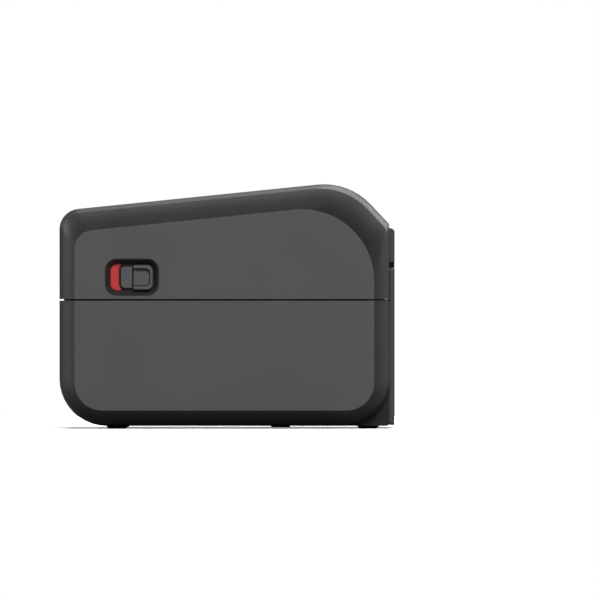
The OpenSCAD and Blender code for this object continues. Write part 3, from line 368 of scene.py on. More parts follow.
@dataclass(frozen=True)
class Finish:
    """What every finish has: a name, two tones of its colour and a gloss range.

    Attributes:
        name: The material's name.
        colour: Linear colour of the surface.
        shade: Linear colour of its slightly darker places.
        gloss: Roughness from the smoothest to the roughest grain.
        bump: Height of the grain, in metres.
        zone: Its zone of another colour, if any.
    """

    name: str
    colour: Triple
    shade: Triple
    gloss: Pair
    bump: float = 0.00002
    zone: Zone | None = None

    def build(self) -> bpy.types.Material:
        """Build the material.

        Returns:
            The finish's material.
        """
        material = bpy.data.materials.new(self.name)
        graph = NodeGraph.fresh(material)
        effect = self._effect(graph)
        relief = {"Strength": 1.0, "Distance": self.bump, "Height": effect["Height"]}
        shader = graph.add("ShaderNodeBsdfPrincipled", {
            **self._constants(),
            "Base Color": self._tone(graph, effect["Tone"]),
            "Normal": graph.add("ShaderNodeBump", relief).outputs["Normal"],
            "Roughness": graph.ramp(effect["Gloss"], (0.0, 1.0), self.gloss),
        })
        graph.add("ShaderNodeOutputMaterial", {"Surface": shader.outputs[0]})
        return material

    def _constants(self) -> dict[str, float]:
        """Return the shader values that are the same all over the surface."""
        return {}

    def _effect(self, graph: NodeGraph) -> Effect:
        """Return the sockets Height, Gloss and Tone of the finish's relief."""
        return graph.add("ShaderNodeGroup", node_tree=mould_grain()).outputs

    def _tone(self, graph: NodeGraph, drift: Socket) -> Socket:
        """Lay out the surface colour, which drifts between two tones.

        Args:
            graph: The material's graph helper.
            drift: Socket with the slow drift in tone.

        Returns:
            The colour socket.
        """
        tone = graph.blend(drift, self.colour, self.shade)
        if self.zone is None:
            return tone
        # The zone's mask by distance from its plane: a printed line on the ceramic, and painted light on the housing's
        # flat side panels.
        along = graph.add("ShaderNodeSeparateXYZ", {0: graph.place()})
        offset = graph.math("SUBTRACT", along.outputs[self.zone.axis.name], self.zone.centre)
        mask = graph.ramp(graph.math("ABSOLUTE", offset), self.zone.edge)
        return graph.blend(mask, tone, graph.blend(drift, self.zone.colour, self.zone.shade))


@dataclass(frozen=True)
class Plastic(Finish):
    """Injection moulded plastic with an eroded mould texture.

    Attributes:
        grain: Cells of mould texture to the metre.
        specular: Specular level of the shader.
    """

    grain: float = 1800.0
    specular: float = 0.4

    def _constants(self) -> dict[str, float]:
        """Return the plastic's specular level."""
        return {"Specular IOR Level": self.specular}

    def _effect(self, graph: NodeGraph) -> Effect:
        """Return the mould grain at the plastic's own scale."""
        return graph.add("ShaderNodeGroup", {"Scale": self.grain}, node_tree=mould_grain()).outputs


@dataclass(frozen=True)
class LightGuide(Plastic):
    """Frosted clear plastic that spreads the status light.

    Attributes:
        clear: Share of the light that goes through.
        index: Its refractive index.
    """

    grain: float = 900.0
    specular: float = 0.5
    clear: float = 0.35
    index: float = 1.49

    def _constants(self) -> dict[str, float]:
        """Return the values that let light through, and the specular level."""
        return {**super()._constants(), "Transmission Weight": self.clear, "IOR": self.index}


@dataclass(frozen=True)
class Metal(Finish):
    """Metal with fine lines from drawing, grinding or turning.

    Attributes:
        along: The direction that the lines run in.
        lines: Lines to the metre across their direction.
        stretch: How much coarser the lines are along their direction, as a share.
    """

    along: Axis = Axis.Y
    lines: float = 2400.0
    stretch: float = 0.03

    def _constants(self) -> dict[str, float]:
        """Return the shader value that makes it a metal."""
        return {"Metallic": 1.0}

    def _effect(self, graph: NodeGraph) -> Effect:
        """Lay the machined lines in the metal's own direction.

        Args:
            graph: The material's graph helper.

        Returns:
            The sockets Height, Gloss and Tone.
        """
        inputs = {axis.name: self.stretch if axis is self.along else 1.0 for axis in Axis}
        inputs["Scale"] = self.lines
        return graph.add("ShaderNodeGroup", inputs, node_tree=machined_lines()).outputs


@dataclass(frozen=True)
class SolderMask(Finish):
    """Circuit board lacquer with raised conductor tracks, which take the shade.

    Attributes:
        pitch: Tracks to the metre.
        track: The breadth of a track and the length and height of its cells, in pitches.
        stagger: How far each row of cells is set off from the last.
    """

    pitch: float = 380.0
    track: Triple = (0.08, 4.6, 0.9)
    stagger: float = 0.37

    def _effect(self, graph: NodeGraph) -> Effect:
        """Lay out the tracks.

        Args:
            graph: The material's graph helper.

        Returns:
            The socket with the tracks, as height, gloss and tone.
        """
        sizes = zip(("Mortar Size", "Brick Width", "Row Height"), self.track)
        inputs = {"Vector": graph.place(), "Scale": self.pitch, **dict(sizes)}
        routes = graph.add("ShaderNodeTexBrick", inputs, offset=self.stagger)
        return dict.fromkeys(("Height", "Gloss", "Tone"), routes.outputs["Fac"])


FINISHES: dict[str, Finish] = {
    # The shell is painted dark and its flat side panels, the zone, far lighter. This is painted shade on the shoulders,
    # top, front and bottom, and painted light on the side panels, for how the light falls on them.
    "housing": Plastic(
        "Housing plastic", (0.0215, 0.0215, 0.0222), (0.0192, 0.0192, 0.0199), (0.44, 0.56),
        zone=Zone(
            Axis.Y, centre=0.0, edge=(0.08788, 0.08796),
            colour=(0.08, 0.08, 0.081), shade=(0.075, 0.075, 0.076),
        ),
    ),
    "plate": Plastic("Rear plate plastic", (0.06, 0.06, 0.061), (0.054, 0.054, 0.055), (0.42, 0.54)),
    "bezel": Plastic("Latch bezel plastic", (0.021, 0.021, 0.0215), (0.018, 0.018, 0.0185), (0.34, 0.46)),
    # Also the black strips of painted shade on the latch sliders.
    "trim": Plastic("Black trim plastic", (0.0125, 0.0125, 0.013), (0.0105, 0.0105, 0.011), (0.38, 0.5)),
    "inner": Plastic("Inner plastic", (0.05, 0.05, 0.053), (0.043, 0.043, 0.046), (0.45, 0.6)),
    "grip": Plastic("Grip plastic", (0.088, 0.088, 0.091), (0.08, 0.08, 0.083), (0.36, 0.48)),
    "marker": Plastic("Red marker plastic", (0.5, 0.045, 0.045), (0.43, 0.038, 0.038), (0.38, 0.5)),
    "foot": Plastic("Foot rubber", (0.012, 0.012, 0.012), (0.009, 0.009, 0.009), (0.7, 0.85), grain=1200.0),
    "roller": Plastic(
        "Roller rubber", (0.016, 0.016, 0.017), (0.012, 0.012, 0.013), (0.6, 0.78), grain=3000.0
    ),
    "gear": Plastic("Acetal", (0.64, 0.61, 0.52), (0.58, 0.55, 0.46), (0.3, 0.42), 0.000008),
    "bushing": Plastic("White acetal", (0.7, 0.68, 0.63), (0.64, 0.62, 0.56), (0.3, 0.42), 0.000008),
    "steel": Metal("Ground steel", (0.56, 0.56, 0.57), (0.48, 0.48, 0.49), (0.22, 0.36), 0.000006),
    "plated": Metal(
        "Zinc plated sheet", (0.5, 0.51, 0.52), (0.4, 0.41, 0.43), (0.32, 0.48), 0.000006, along=Axis.X
    ),
    "brass": Metal("Turned brass", (0.62, 0.45, 0.2), (0.52, 0.37, 0.16), (0.24, 0.38), 0.000005),
    "aluminium": Metal("Extruded aluminium", (0.62, 0.63, 0.64), (0.54, 0.55, 0.56), (0.3, 0.44), 0.000008),
    "ceramic": Finish(
        "Glazed ceramic", (0.74, 0.72, 0.67), (0.68, 0.66, 0.6), (0.12, 0.2), 0.000003,
        zone=Zone(
            Axis.X, centre=-0.0965, edge=(0.0011, 0.0009),
            colour=(0.045, 0.03, 0.022), shade=(0.045, 0.03, 0.022),
        ),
    ),
    "board": SolderMask("Solder mask", (0.012, 0.075, 0.035), (0.02, 0.13, 0.06), (0.3, 0.22), 0.00003),
    "socket": Metal(
        "Tinned socket shell", (0.5, 0.5, 0.51), (0.42, 0.42, 0.43), (0.36, 0.5), 0.000005, along=Axis.X
    ),
    "black_part": Plastic("Glass filled nylon", (0.014, 0.014, 0.0145), (0.011, 0.011, 0.0115), (0.28, 0.4)),
    "light": LightGuide("Light guide", (0.72, 0.77, 0.8), (0.64, 0.69, 0.72), (0.3, 0.45), 0.00001),
    "spring": Metal("Spring wire", (0.5, 0.5, 0.51), (0.42, 0.42, 0.43), (0.24, 0.36), 0.000004),
    "gold": Metal("Gold plated contacts", (0.78, 0.56, 0.22), (0.7, 0.5, 0.19), (0.18, 0.28), 0.000003),
    "ink": Plastic("Pad printed mark", (0.62, 0.62, 0.62), (0.56, 0.56, 0.56), (0.4, 0.5), 0.000004),
}


@cache
def material_of(finish: str) -> bpy.types.Material:
    """Return the material of a finish, built once."""
    return FINISHES[finish].build()


def paint(piece: bpy.types.Object, finish: str) -> None:
    """Give a piece one finish all over, by the finish's key."""
    piece.data.materials.clear()
    piece.data.materials.append(material_of(finish))


# ---------------- making pieces


def object_from(name: str, shape: Shape) -> bpy.types.Object:
    """Turn a bmesh into a linked object at the origin.

    Args:
        name: The piece's name.
        shape: The finished bmesh, which is freed.

    Returns:
        The new object.
    """
    mesh = bpy.data.meshes.new(name)
    shape.to_mesh(mesh)
    shape.free()
    piece = bpy.data.objects.new(name, mesh)
    bpy.context.scene.collection.objects.link(piece)
    return piece


def smooth_by_angle(shape: Shape, crease: float) -> None:
    """Shade faces smooth and mark the edges above an angle as sharp.

    Args:
        shape: The bmesh to shade.
        crease: The angle in degrees above which an edge stays sharp.
    """
    limit = math.radians(crease)
    for face in shape.faces:
        face.smooth = True
    for edge in shape.edges:
        edge.smooth = len(edge.link_faces) == 2 and edge.calc_face_angle(0.0) < limit


def recut(node: str, crease: float, edge_radius: float = 0.0) -> bpy.types.Object:
    """Remake a CAD node as one welded mesh with smooth curves and eased edges.

    Args:
        node: The CAD node whose shape is kept.
        crease: The angle in degrees above which an edge stays sharp.
        edge_radius: The radius of the eased edges, in metres, or 0 for none.

    Returns:
        The piece that stands for the node.
    """
    source = frame["nodes"][node]
    shape = bmesh.new()
    shape.from_mesh(source.data)
    bmesh.ops.remove_doubles(shape, verts=shape.verts, dist=WELD)
    bmesh.ops.dissolve_limit(
        shape, angle_limit=math.radians(FLAT_ANGLE), verts=shape.verts, edges=shape.edges
    )
    smooth_by_angle(shape, crease)
    piece = object_from(f"{node}_finished", shape)
    if edge_radius:
        bevel = piece.modifiers.new("Eased edges", "BEVEL")
        bevel.width = edge_radius
        bevel.segments = 2
        bevel.limit_method = "ANGLE"
        bevel.angle_limit = math.radians(max(crease, EASED_ANGLE))
        bevel.use_clamp_overlap = True
    weighted = piece.modifiers.new("Flat faces stay flat", "WEIGHTED_NORMAL")
    weighted.mode = "FACE_AREA"
    weighted.keep_sharp = not edge_radius
    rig.ride(piece, source["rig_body"])
    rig.replaces(piece, node)
    log.info("  %s remade smooth, on %s", node, source["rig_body"])
    return piece


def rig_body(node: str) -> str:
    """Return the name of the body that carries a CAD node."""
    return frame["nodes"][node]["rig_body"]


def bar(shape: Shape, low: Vector, high: Vector, round_off: float = 0.0) -> None:
    """Add a box between two corners, with eased edges.

    Args:
        shape: The bmesh that gets the box.
        low: The lowest corner.
        high: The highest corner.
        round_off: The radius of its edges, in metres, or 0 for none.
    """
    size = high - low
    place = Matrix.Translation((low + high) / 2) @ Matrix.Diagonal((*size, 1.0))
    made = bmesh.ops.create_cube(shape, size=1.0, matrix=place)
    if round_off:
        edges = list({edge for vert in made["verts"] for edge in vert.link_edges})
        bmesh.ops.bevel(
            shape, geom=edges, offset=round_off, offset_type="OFFSET", segments=2,
            profile=0.5, affect="EDGES", material=-1,
        )


def fitting(
    name: str, shape: Shape, finish: str, body: str, slot: str
) -> bpy.types.Object:
    """Finish an added piece: shade it, paint it and let it ride on its body.

    Args:
        name: The piece's name.
        shape: Its bmesh, which is freed.
        finish: The key of its finish.
        body: The body that carries it.
        slot: The record's material slot that it belongs to.

    Returns:
        The piece.
    """
    bmesh.ops.recalc_face_normals(shape, faces=shape.faces)
    smooth_by_angle(shape, FITTING_CREASE)
    piece = object_from(name, shape)
    paint(piece, finish)
    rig.slot(piece, slot)
    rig.ride(piece, body)
    log.info("  %s in %s, on %s", name, finish, body)
    return piece


def oblong(low: Pair, high: Pair) -> list[Pair]:
    """Return the corners of a rectangle, from the lowest one round."""
    return [(low[0], low[1]), (high[0], low[1]), (high[0], high[1]), (low[0], high[1])]


def arc(middle: Pair, radius: float, first: float, last: float, steps: int) -> list[Pair]:
    """Return points along an arc.

    Args:
        middle: Its centre.
        radius: Its radius.
        first: The direction from the centre to its first point, in degrees.
        last: The direction to its last point.
        steps: The number of steps between them.

    Returns:
        The points.
    """
    turns = [math.radians(first + (last - first) * step / steps) for step in range(steps + 1)]
    return [(middle[0] + radius * math.cos(t), middle[1] + radius * math.sin(t)) for t in turns]


def prism(shape: Shape, foot: Sequence[Sequence[float]], rise: Sequence[float]) -> None:
    """Raise a flat outline into a prism.

    Args:
        shape: The bmesh that gets the prism.
        foot: The corners of the outline, in metres.
        rise: The way from the outline to the prism's far face.
    """
    face = shape.faces.new([shape.verts.new(corner) for corner in foot])
    made = bmesh.ops.extrude_face_region(shape, geom=[face], use_keep_orig=True)["geom"]
    far = [item for item in made if isinstance(item, bmesh.types.BMVert)]
    bmesh.ops.translate(shape, verts=far, vec=rise)


@dataclass(frozen=True)
class Band:
    """An upright band inside the housing's outer surface, in millimetres.

    Attributes:
        insets: Depths of its two faces.
        heights: Its lower and upper edge.
    """

    insets: Pair
    heights: Pair


def table(**rows: object) -> dict[str, object]:
    """Return a dataclass field whose default is a table with these rows."""
    return field(default_factory=lambda: dict(rows))


@dataclass
class SubAssembly:
    """A group of the printer's pieces that are dressed together.

    Attributes:
        title: What the group is called in the log.
        plain: The CAD nodes that keep their mesh, with their finish.
        recuts: The CAD nodes that are remade smooth: finish, crease, edge radius.
    """

    title: str = "sub-assembly"
    plain: dict[str, str] = table()
    recuts: dict[str, tuple[str, float, float]] = table()

    def build(self) -> None:
        """Dress the CAD nodes, then add the fine fittings."""
        log.info("%s:", self.title)
        for node, finish in self.plain.items():
            paint(frame["nodes"][node], finish)
            log.info("  %s in %s", node, finish)
        for node, (finish, crease, edge_radius) in self.recuts.items():
            paint(recut(node, crease, edge_radius), finish)
        self.add_fittings()

    def add_fittings(self) -> None:
        """Add the fine fittings, if the group has any."""

    def spring(self, node: str, joint: str, keep: float, hung: bool = False) -> None:
        """Remake a spring so that a joint presses it together.

        Args:
            node: The CAD node of the spring.
            joint: The joint that presses it.
            keep: Share of its length that is left at the end of the joint's travel.
            hung: Whether it stays put at its top, and not at its foot.
        """
        low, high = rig.box(node)
        piece = recut(node, SPRING_CREASE)
        paint(piece, "spring")
        still = ((low.x + high.x) / 2, (low.y + high.y) / 2, high.z if hung else low.z)
        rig.squash(piece, joint, axis=(0, 0, 1), anchor=still, keep=keep)


@dataclass
class Housing(SubAssembly):
    """The base and lid shells, the rear plate, the lid's rear strip and the feet.

    Attributes:
        rear_x: Rear face of the shells. All sizes here are in millimetres.
        half_w: Distance of the flat side panels from the middle plane.
        margin: Margin between the outline and the side panel.
        shoulder: How far the rounded shoulder reaches across the width.
        crease: Angle at which the shoulder leaves the side panel, in degrees.
        turns: Number of steps round a rear corner.
        lead: How far a corner band runs on along the side panel.
        end_y: Distance from the middle plane at which it ends, behind the rear plate.
        lip: The bands of the lid's corner lip.
        bead: The band of the base's corner bead.
    """

    title: str = "housing"
    plain: dict[str, str] = table(hinge_pins="steel", screws="steel")
    recuts: dict[str, tuple[str, float, float]] = table(
        base_shell=("housing", 16.0, 0.0), lid_shell=("housing", 16.0, 0.0),
        rear_panel=("plate", 30.0, 0.0), lid_strip=("plate", 30.0, 0.0),
        rubber_feet=("foot", 30.0, 0.0004),
    )
    rear_x: float = 106.7
    half_w: float = 88.0
    margin: float = 10.3
    shoulder: float = 14.0
    crease: float = 28.0
    turns: int = 12
    lead: float = 1.5
    end_y: float = 62.0
    lip: tuple[Band, ...] = (Band((3.1, 4.4), (83.0, 88.4)), Band((2.2, 4.4), (86.1, 88.4)))
    bead: tuple[Band, ...] = (Band((0.6, 2.0), (83.9, 85.02)),)

    def add_fittings(self) -> None:
        """Close the parting gap at the rear corners: a lip on the lid, a bead on the base."""
        for side in Side:
            for name, node, bands in (
                ("lid_corner_lip", "lid_shell", self.lip),
                ("base_corner_bead", "base_shell", self.bead),
            ):
                shape = bmesh.new()
                for band in bands:
                    self._corner_band(shape, side, band)
                fitting(f"{name}_{side.name.lower()}", shape, "trim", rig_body(node), "trim")

    def _corner(self, inset: float, side: Side) -> list[Pair]:
        """Return points along a rear corner of the housing, seen from above.

        Args:
            inset: How far inside the outer surface they lie.
            side: The side of the printer.

        Returns:
            Their x and y, from the side panel round to the rear wall.
        """
        first = math.radians(self.crease)
        low = math.sin(first)
        points = []
        for step in range(self.turns + 1):
            angle = first + (math.pi / 2 - first) * step / self.turns
            short = self.margin * (1.0 - math.sin(angle)) / (1.0 - low)
            sunk = self.shoulder * (1.0 - math.cos(angle) / math.cos(first))
            points.append((self.rear_x - inset - short, self.half_w - inset - sunk))
        points.append((points[-1][0], self.end_y))
        points.insert(0, (points[0][0] - self.lead, points[0][1]))
        return [(x, side.value * y) for x, y in points]

    def _corner_band(self, shape: Shape, side: Side, band: Band) -> None:
        """Add an upright band that follows a rear corner.

        Args:
            shape: The bmesh that gets the band.
            side: The side of the printer.
            band: Its depths and heights.
        """
        bottom, top = band.heights
        outer, inner = (self._corner(inset, side) for inset in band.insets)
        foot = [Vector((x, y, bottom)) * MM for x, y in outer + inner[::-1]]
        prism(shape, foot, (0.0, 0.0, (top - bottom) * MM))


@dataclass
class SideLatches(SubAssembly):
    """The two side latches: bezel, red marker, slider, hook and spring.

    Attributes:
        latch_z: Height of the latch's middle. All sizes here are in millimetres.
        tongue_x: Where the slider's tongue ends.
        tongue_half: Half the tongue's height.
        tongue_r: Radius of the tongue's corners.
        tongue_face: Distance of the tongue's outer face from the middle plane.
        gap: Width of the dark gap between the marker and the tongue.
        gap_turn: Direction in which the gap runs out of the marker, in degrees.
        marker_r: Radius of the marker's corners.
        seam_x: Where the grip rises from the tongue.
        seam_w: Width of the black strip there, painted shade for the shadow in the gap between tongue and grip.
        seam_depths: Its two faces, measured from the tongue's face.
        dish_x: Where the finger dish ends.
        dish_half: Half the dish's height.
        dish_r: Radius of the dish's corners.
        dish_floor: Distance of the dish's floor from the middle plane.
        line_w: Width of the black strip round the dish, painted shade for the shade in its groove.
        line_depths: Its two faces, measured from the dish's floor.
        line_foot: How far it stops short of the foot of the grip.
        cutter_reach: How far the dish's cutter reaches past its ends.
        arc_steps: Number of steps in a rounded corner.
        crease: Angle above which an edge stays sharp, in degrees.
        spring_keep: Share of the spring's length that is left when the latch is open.
    """

    title: str = "side latches"
    latch_z: float = 99.45
    tongue_x: float = -69.4
    tongue_half: float = 6.95
    tongue_r: float = 2.3
    tongue_face: float = 85.3
    gap: float = 1.5
    gap_turn: float = 130.0
    marker_r: float = 4.1
    seam_x: float = -61.2
    seam_w: float = 1.1
    seam_depths: Pair = (-0.1, 0.06)
    dish_x: float = -50.3
    dish_half: float = 5.9
    dish_r: float = 3.2
    dish_floor: float = 85.2
    line_w: float = 0.6
    line_depths: Pair = (0.05, 0.4)
    line_foot: float = 0.05
    cutter_reach: Pair = (1.0, 3.0)
    arc_steps: int = 8
    crease: float = 30.0
    spring_keep: float = 0.38

    def build(self) -> None:
        """Dress both latches, which are mirror images of each other."""
        for side in Side:
            name = side.name.lower()
            self.plain[f"latch_hook_{name}"] = "plated"
            self.recuts[f"latch_bezel_{name}"] = ("bezel", self.crease, 0.0)
        self.plain["hook_pins"] = "steel"
        self.plain["latch_strikes"] = "plated"
        super().build()

    def add_fittings(self) -> None:
        """Make the markers and sliders, and lay black strips of painted shade at each grip's foot and round its finger
        dish.
        """
        for side in Side:
            name = side.name.lower()
            slider = f"latch_slider_{name}"
            self.spring(f"latch_spring_{name}", f"{name}_latch_slide", self.spring_keep)
            self._marker(f"latch_marker_{name}", side)
            self._slider(slider, side)
            # Black strips of painted shade: the shadow at the grip's foot and in the groove round its dish.
            fitting(f"{slider}_lines", self._lines(side), "trim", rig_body(slider), "trim")

    def _plate(
        self, shape: Shape, side: Side, outline: Sequence[Pair], depths: Sequence[float]
    ) -> None:
        """Add a plate that lies against the side of the printer.

        Args:
            shape: The bmesh that gets the plate.
            side: The side of the printer.
            outline: Its corners, as x and z in millimetres, z from the latch's middle.
            depths: Distances of its two faces from the middle plane, in millimetres.
        """
        near, far = (side.value * depth * MM for depth in depths)
        foot = [(x * MM, near, (self.latch_z + z) * MM) for x, z in outline]
        prism(shape, foot, (0.0, far - near, 0.0))

    def _marker(self, node: str, side: Side) -> None:
        """Make the red marker, cut back round the end of the tongue.

        Args:
            node: The CAD node that it stands for.
            side: The side of the printer.
        """
        low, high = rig.box(node)
        left, half, radius = low.x / MM, (high.z - low.z) / 2 / MM, self.marker_r
        bend = (self.tongue_x + self.tongue_r, self.tongue_half - self.tongue_r)
        ring = self.tongue_r + self.gap
        upper = arc((left + radius, half - radius), radius, 180.0, 90.0, self.arc_steps)
        bay = arc(bend, ring, self.gap_turn, 180.0, self.arc_steps)
        upper += [(bay[0][0], half)] + bay
        outline = upper + [(x, -z) for x, z in reversed(upper)]
        shape = bmesh.new()
        self._plate(shape, side, outline, sorted((abs(low.y) / MM, abs(high.y) / MM)))
        piece = fitting(f"{node}_finished", shape, "marker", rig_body(node), "marker")
        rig.replaces(piece, node)

    def _slider(self, node: str, side: Side) -> None:
        """Remake the slider with a squarer finger dish.

        Args:
            node: The CAD node that it stands for.
            side: The side of the printer.
        """
        piece = recut(node, self.crease)
        tool = bmesh.new()
        foot, reach = self.cutter_reach
        depths = (self.dish_floor, self.dish_floor + reach)
        self._plate(tool, side, self._dish(0.0, foot), depths)
        bmesh.ops.recalc_face_normals(tool, faces=tool.faces)
        cutter = object_from(f"{node}_cutter", tool)
        carve = piece.modifiers.new("Finger dish", "BOOLEAN")
        carve.operation = "DIFFERENCE"
        carve.solver = "EXACT"
        carve.object = cutter
        piece.modifiers.move(piece.modifiers.find(carve.name), 0)
        view = bpy.context.evaluated_depsgraph_get()
        carved = bpy.data.meshes.new_from_object(piece.evaluated_get(view))
        piece.modifiers.clear()
        piece.data = carved
        bpy.data.objects.remove(cutter)
        paint(piece, "grip")

    def _dish(self, inset: float, foot: float) -> list[Pair]:
        """Return the outline of the finger dish, open towards the tongue.

        Args:
            inset: How far inside the dish's wall it lies.
            foot: How far it reaches past the foot of the grip.

        Returns:
            The corners, from the upper open end round to the lower one.
        """
        right, top = self.dish_x - inset, self.dish_half - inset
        radius = self.dish_r - inset
        bend = arc((right - radius, top - radius), radius, 90.0, 0.0, self.arc_steps)
        upper = [(self.seam_x - foot, top)] + bend
        return upper + [(x, -z) for x, z in reversed(upper)]

    def _lines(self, side: Side) -> Shape:
        """Lay black strips of painted shade: one in the shadow gap at the foot of the grip, and one in the shaded
        groove round its finger dish.

        Args:
            side: The side of the printer.

        Returns:
            The bmesh with both.
        """
        shape = bmesh.new()
        low, high = (self.seam_x - self.seam_w, -self.tongue_half), (self.seam_x, self.tongue_half)
        depths = [self.tongue_face + depth for depth in self.seam_depths]
        self._plate(shape, side, oblong(low, high), depths)
        outer, inner = (self._dish(inset, -self.line_foot) for inset in (0.0, self.line_w))
        depths = [self.dish_floor + depth for depth in self.line_depths]
        self._plate(shape, side, outer + inner[::-1], depths)
        return shape


@dataclass
class LabelPath(SubAssembly):
    """The label deck, tear bar, platen and gap sensor."""

    title: str = "label path"
    plain: dict[str, str] = table(
        chassis="inner", label_deck="inner", tear_bar="steel", platen_bearings="bushing",
        platen_shaft="steel", platen_rubber="roller", sensor_rail="steel",
        label_sensor="black_part",
    )


@dataclass
class Drive(SubAssembly):
    """The stepper motor and the gears that turn the platen."""

    title: str = "drive"
    plain: dict[str, str] = table(
        platen_gear="gear", idler_stud="steel", idler_gear="gear", stepper_motor="plated",
        motor_shaft="steel", motor_pinion="brass",
    )


@dataclass
class RollBay(SubAssembly):
    """The trough for the label roll with its coupled guides."""

    title: str = "roll bay"
    plain: dict[str, str] = table(
        roll_tray="inner", roll_hub_right="trim", roll_hub_left="trim", rack_pinion="gear",
        rack_stud="steel",
    )
    recuts: dict[str, tuple[str, float, float]] = table(
        roll_guide_right=("grip", 30.0, 0.0), roll_guide_left=("grip", 30.0, 0.0)
    )


@dataclass
class HeadUnit(SubAssembly):
    """The print head on its sheet metal frame in the lid.

    Attributes:
        spring_keep: Share of the springs' length that is left when the head is lifted.
    """

    title: str = "head unit"
    plain: dict[str, str] = table(
        head_frame="plated", head_pivot_pin="steel", print_head="aluminium", head_board="ceramic",
    )
    spring_keep: float = 0.89

    def add_fittings(self) -> None:
        """Remake the two springs that press the head down and stay put at the top."""
        self.spring("head_springs", "print_head_tilt", self.spring_keep, hung=True)


@dataclass(frozen=True)
class ContactRow:
    """A row of gold plated contacts in a socket. All sizes are in millimetres.

    Attributes:
        count: Number of contacts.
        pitch: Distance between two of them.
        reach: Their two ends, measured from the mouth of the socket.
        rise: Their lower and upper face, measured from the datum.
        half: Half their width.
        datum: Height of the datum as a share of the socket's height.
        round_off: Radius of their edges, or 0 for none.
    """

    count: int
    pitch: float
    reach: Pair
    rise: Pair
    half: float
    datum: float
    round_off: float = 0.0

    def build(self, name: str, node: str) -> None:
        """Lay the row in its socket.

        Args:
            name: The piece's name.
            node: The CAD node of the socket.
        """
        low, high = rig.box(node)
        origin = Vector((high.x, (low.y + high.y) / 2, low.z + (high.z - low.z) * self.datum))
        shape = bmesh.new()
        for index in range(self.count):
            y = (index - (self.count - 1) / 2) * self.pitch
            near = Vector((self.reach[0], y - self.half, self.rise[0])) * MM
            far = Vector((self.reach[1], y + self.half, self.rise[1])) * MM
            bar(shape, origin + near, origin + far, self.round_off * MM)
        fitting(name, shape, "gold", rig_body(node), "socket")


@dataclass
class Electronics(SubAssembly):
    """The main board, the rear sockets, the power switch and the feed button.

    Attributes:
        network_row: The sprung contacts under the roof of the network socket.
        data_row: The contacts on the tongue of the data socket.
        rocker_axle: The middle of the rocker's axle. All sizes here are in millimetres.
        rocker_tip: Where a half's outer edge lies from the axle, out and across.
        rocker_mid: Distance of the rocker's middle crease from the axle.
        rocker_rest: The rocker's turn about its axle at rest, in degrees.
        bar_half: Half the width and half the height of the upright mark.
        ring_radii: Outer and inner radius of the round mark.
        ring_turns: Number of steps round it.
        mark_half: Half the thickness of the printed marks.
    """

    title: str = "electronics"
    network_row: ContactRow = ContactRow(8, 1.02, (-12.5, -1.5), (-2.1, -1.7), 0.2, 1.0, 0.08)
    data_row: ContactRow = ContactRow(2, 2.5, (-11.0, -2.4), (1.3, 1.48), 0.5, 0.5)
    rocker_axle: Triple = (101.4, 44.0, 42.0)
    rocker_tip: Pair = (6.4, 6.4)
    rocker_mid: float = 4.6
    rocker_rest: float = -8.0
    bar_half: Pair = (0.25, 1.6)
    ring_radii: Pair = (1.5, 1.05)
    ring_turns: int = 32
    mark_half: float = 0.03
    plain: dict[str, str] = table(
        main_board="board", button_board="board", dc_inlet="black_part", usb_port="socket",
        ethernet_port="black_part", power_switch="black_part", power_rocker="black_part",
        feed_button="grip", status_ring="light",
    )

    def add_fittings(self) -> None:
        """Add the contacts of the two data sockets and the switch marks."""
        self.network_row.build("network_contacts", "ethernet_port")
        self.data_row.build("data_contacts", "usb_port")
        self._switch_marks()

    def _switch_marks(self) -> None:
        """Print the generic marks for on and off on the two halves of the rocker."""
        shape = bmesh.new()
        outer, inner = self.ring_radii
        section = oblong((inner, -self.mark_half), (outer, self.mark_half))
        corners = [shape.verts.new((x, 0.0, z)) for x, z in section]
        rim = [shape.edges.new(ends) for ends in zip(corners, corners[1:] + corners[:1])]
        bmesh.ops.spin(
            shape, geom=corners + rim, cent=(0.0, 0.0, 0.0), axis=(0.0, 0.0, 1.0),
            angle=math.tau, steps=self.ring_turns, use_merge=True,
        )
        bmesh.ops.transform(shape, matrix=self._rocker_half(Side.RIGHT), verts=shape.verts)
        size = Matrix.Diagonal((*self.bar_half, self.mark_half, 1.0))
        bmesh.ops.create_cube(shape, size=2.0, matrix=self._rocker_half(Side.LEFT) @ size)
        fitting("switch_marks", shape, "ink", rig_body("power_rocker"), "steel")

    def _rocker_half(self, side: Side) -> Matrix:
        """Return the frame of one half of the rocker, with Z out of its face.

        Args:
            side: The side of the printer that the half lies towards.

        Returns:
            The matrix from millimetres on the face to the scene.
        """
        out, across = self.rocker_tip
        fall = math.atan2(out - self.rocker_mid, across)
        middle = Vector(((out + self.rocker_mid) / 2, side.value * across / 2, 0.0))
        upright = Matrix(((0, 0, 1, 0), (1, 0, 0, 0), (0, 1, 0, 0), (0, 0, 0, 1)))
        local = Matrix.Translation(middle) @ Matrix.Rotation(-side.value * fall, 4, "Z") @ upright
        swing = Matrix.Rotation(math.radians(self.rocker_rest), 4, "Z")
        place = Matrix.Translation(Vector(self.rocker_axle))
        return Matrix.Scale(MM, 4) @ place @ swing @ local


# ---------------- studio


@dataclass(frozen=True)
class Lamp:
    """A soft rectangular studio lamp aimed at the printer.

    Attributes:
        name: The lamp's name.
        place: Where it stands, in metres.
        size: Its width and height, in metres.
        power: Its power, in watts.
        aim: The point that it is aimed at.
        glossy: Whether it shows in glossy surfaces.
    """

    name: str
    place: Triple
    size: Pair
    power: float
    aim: Triple = (0.0, 0.0, 0.08)
    glossy: bool = True

    def build(self) -> None:
        """Create the lamp."""
        light = bpy.data.lights.new(self.name, "AREA")
        light.shape = "RECTANGLE"
        light.size, light.size_y = self.size
        light.energy = self.power
        lamp = bpy.data.objects.new(self.name, light)
        lamp.location = self.place
        ray = Vector(self.aim) - Vector(self.place)
        lamp.rotation_euler = ray.to_track_quat("-Z", "Y").to_euler()
        lamp.visible_camera = False
        lamp.visible_glossy = self.glossy
        bpy.context.scene.collection.objects.link(lamp)


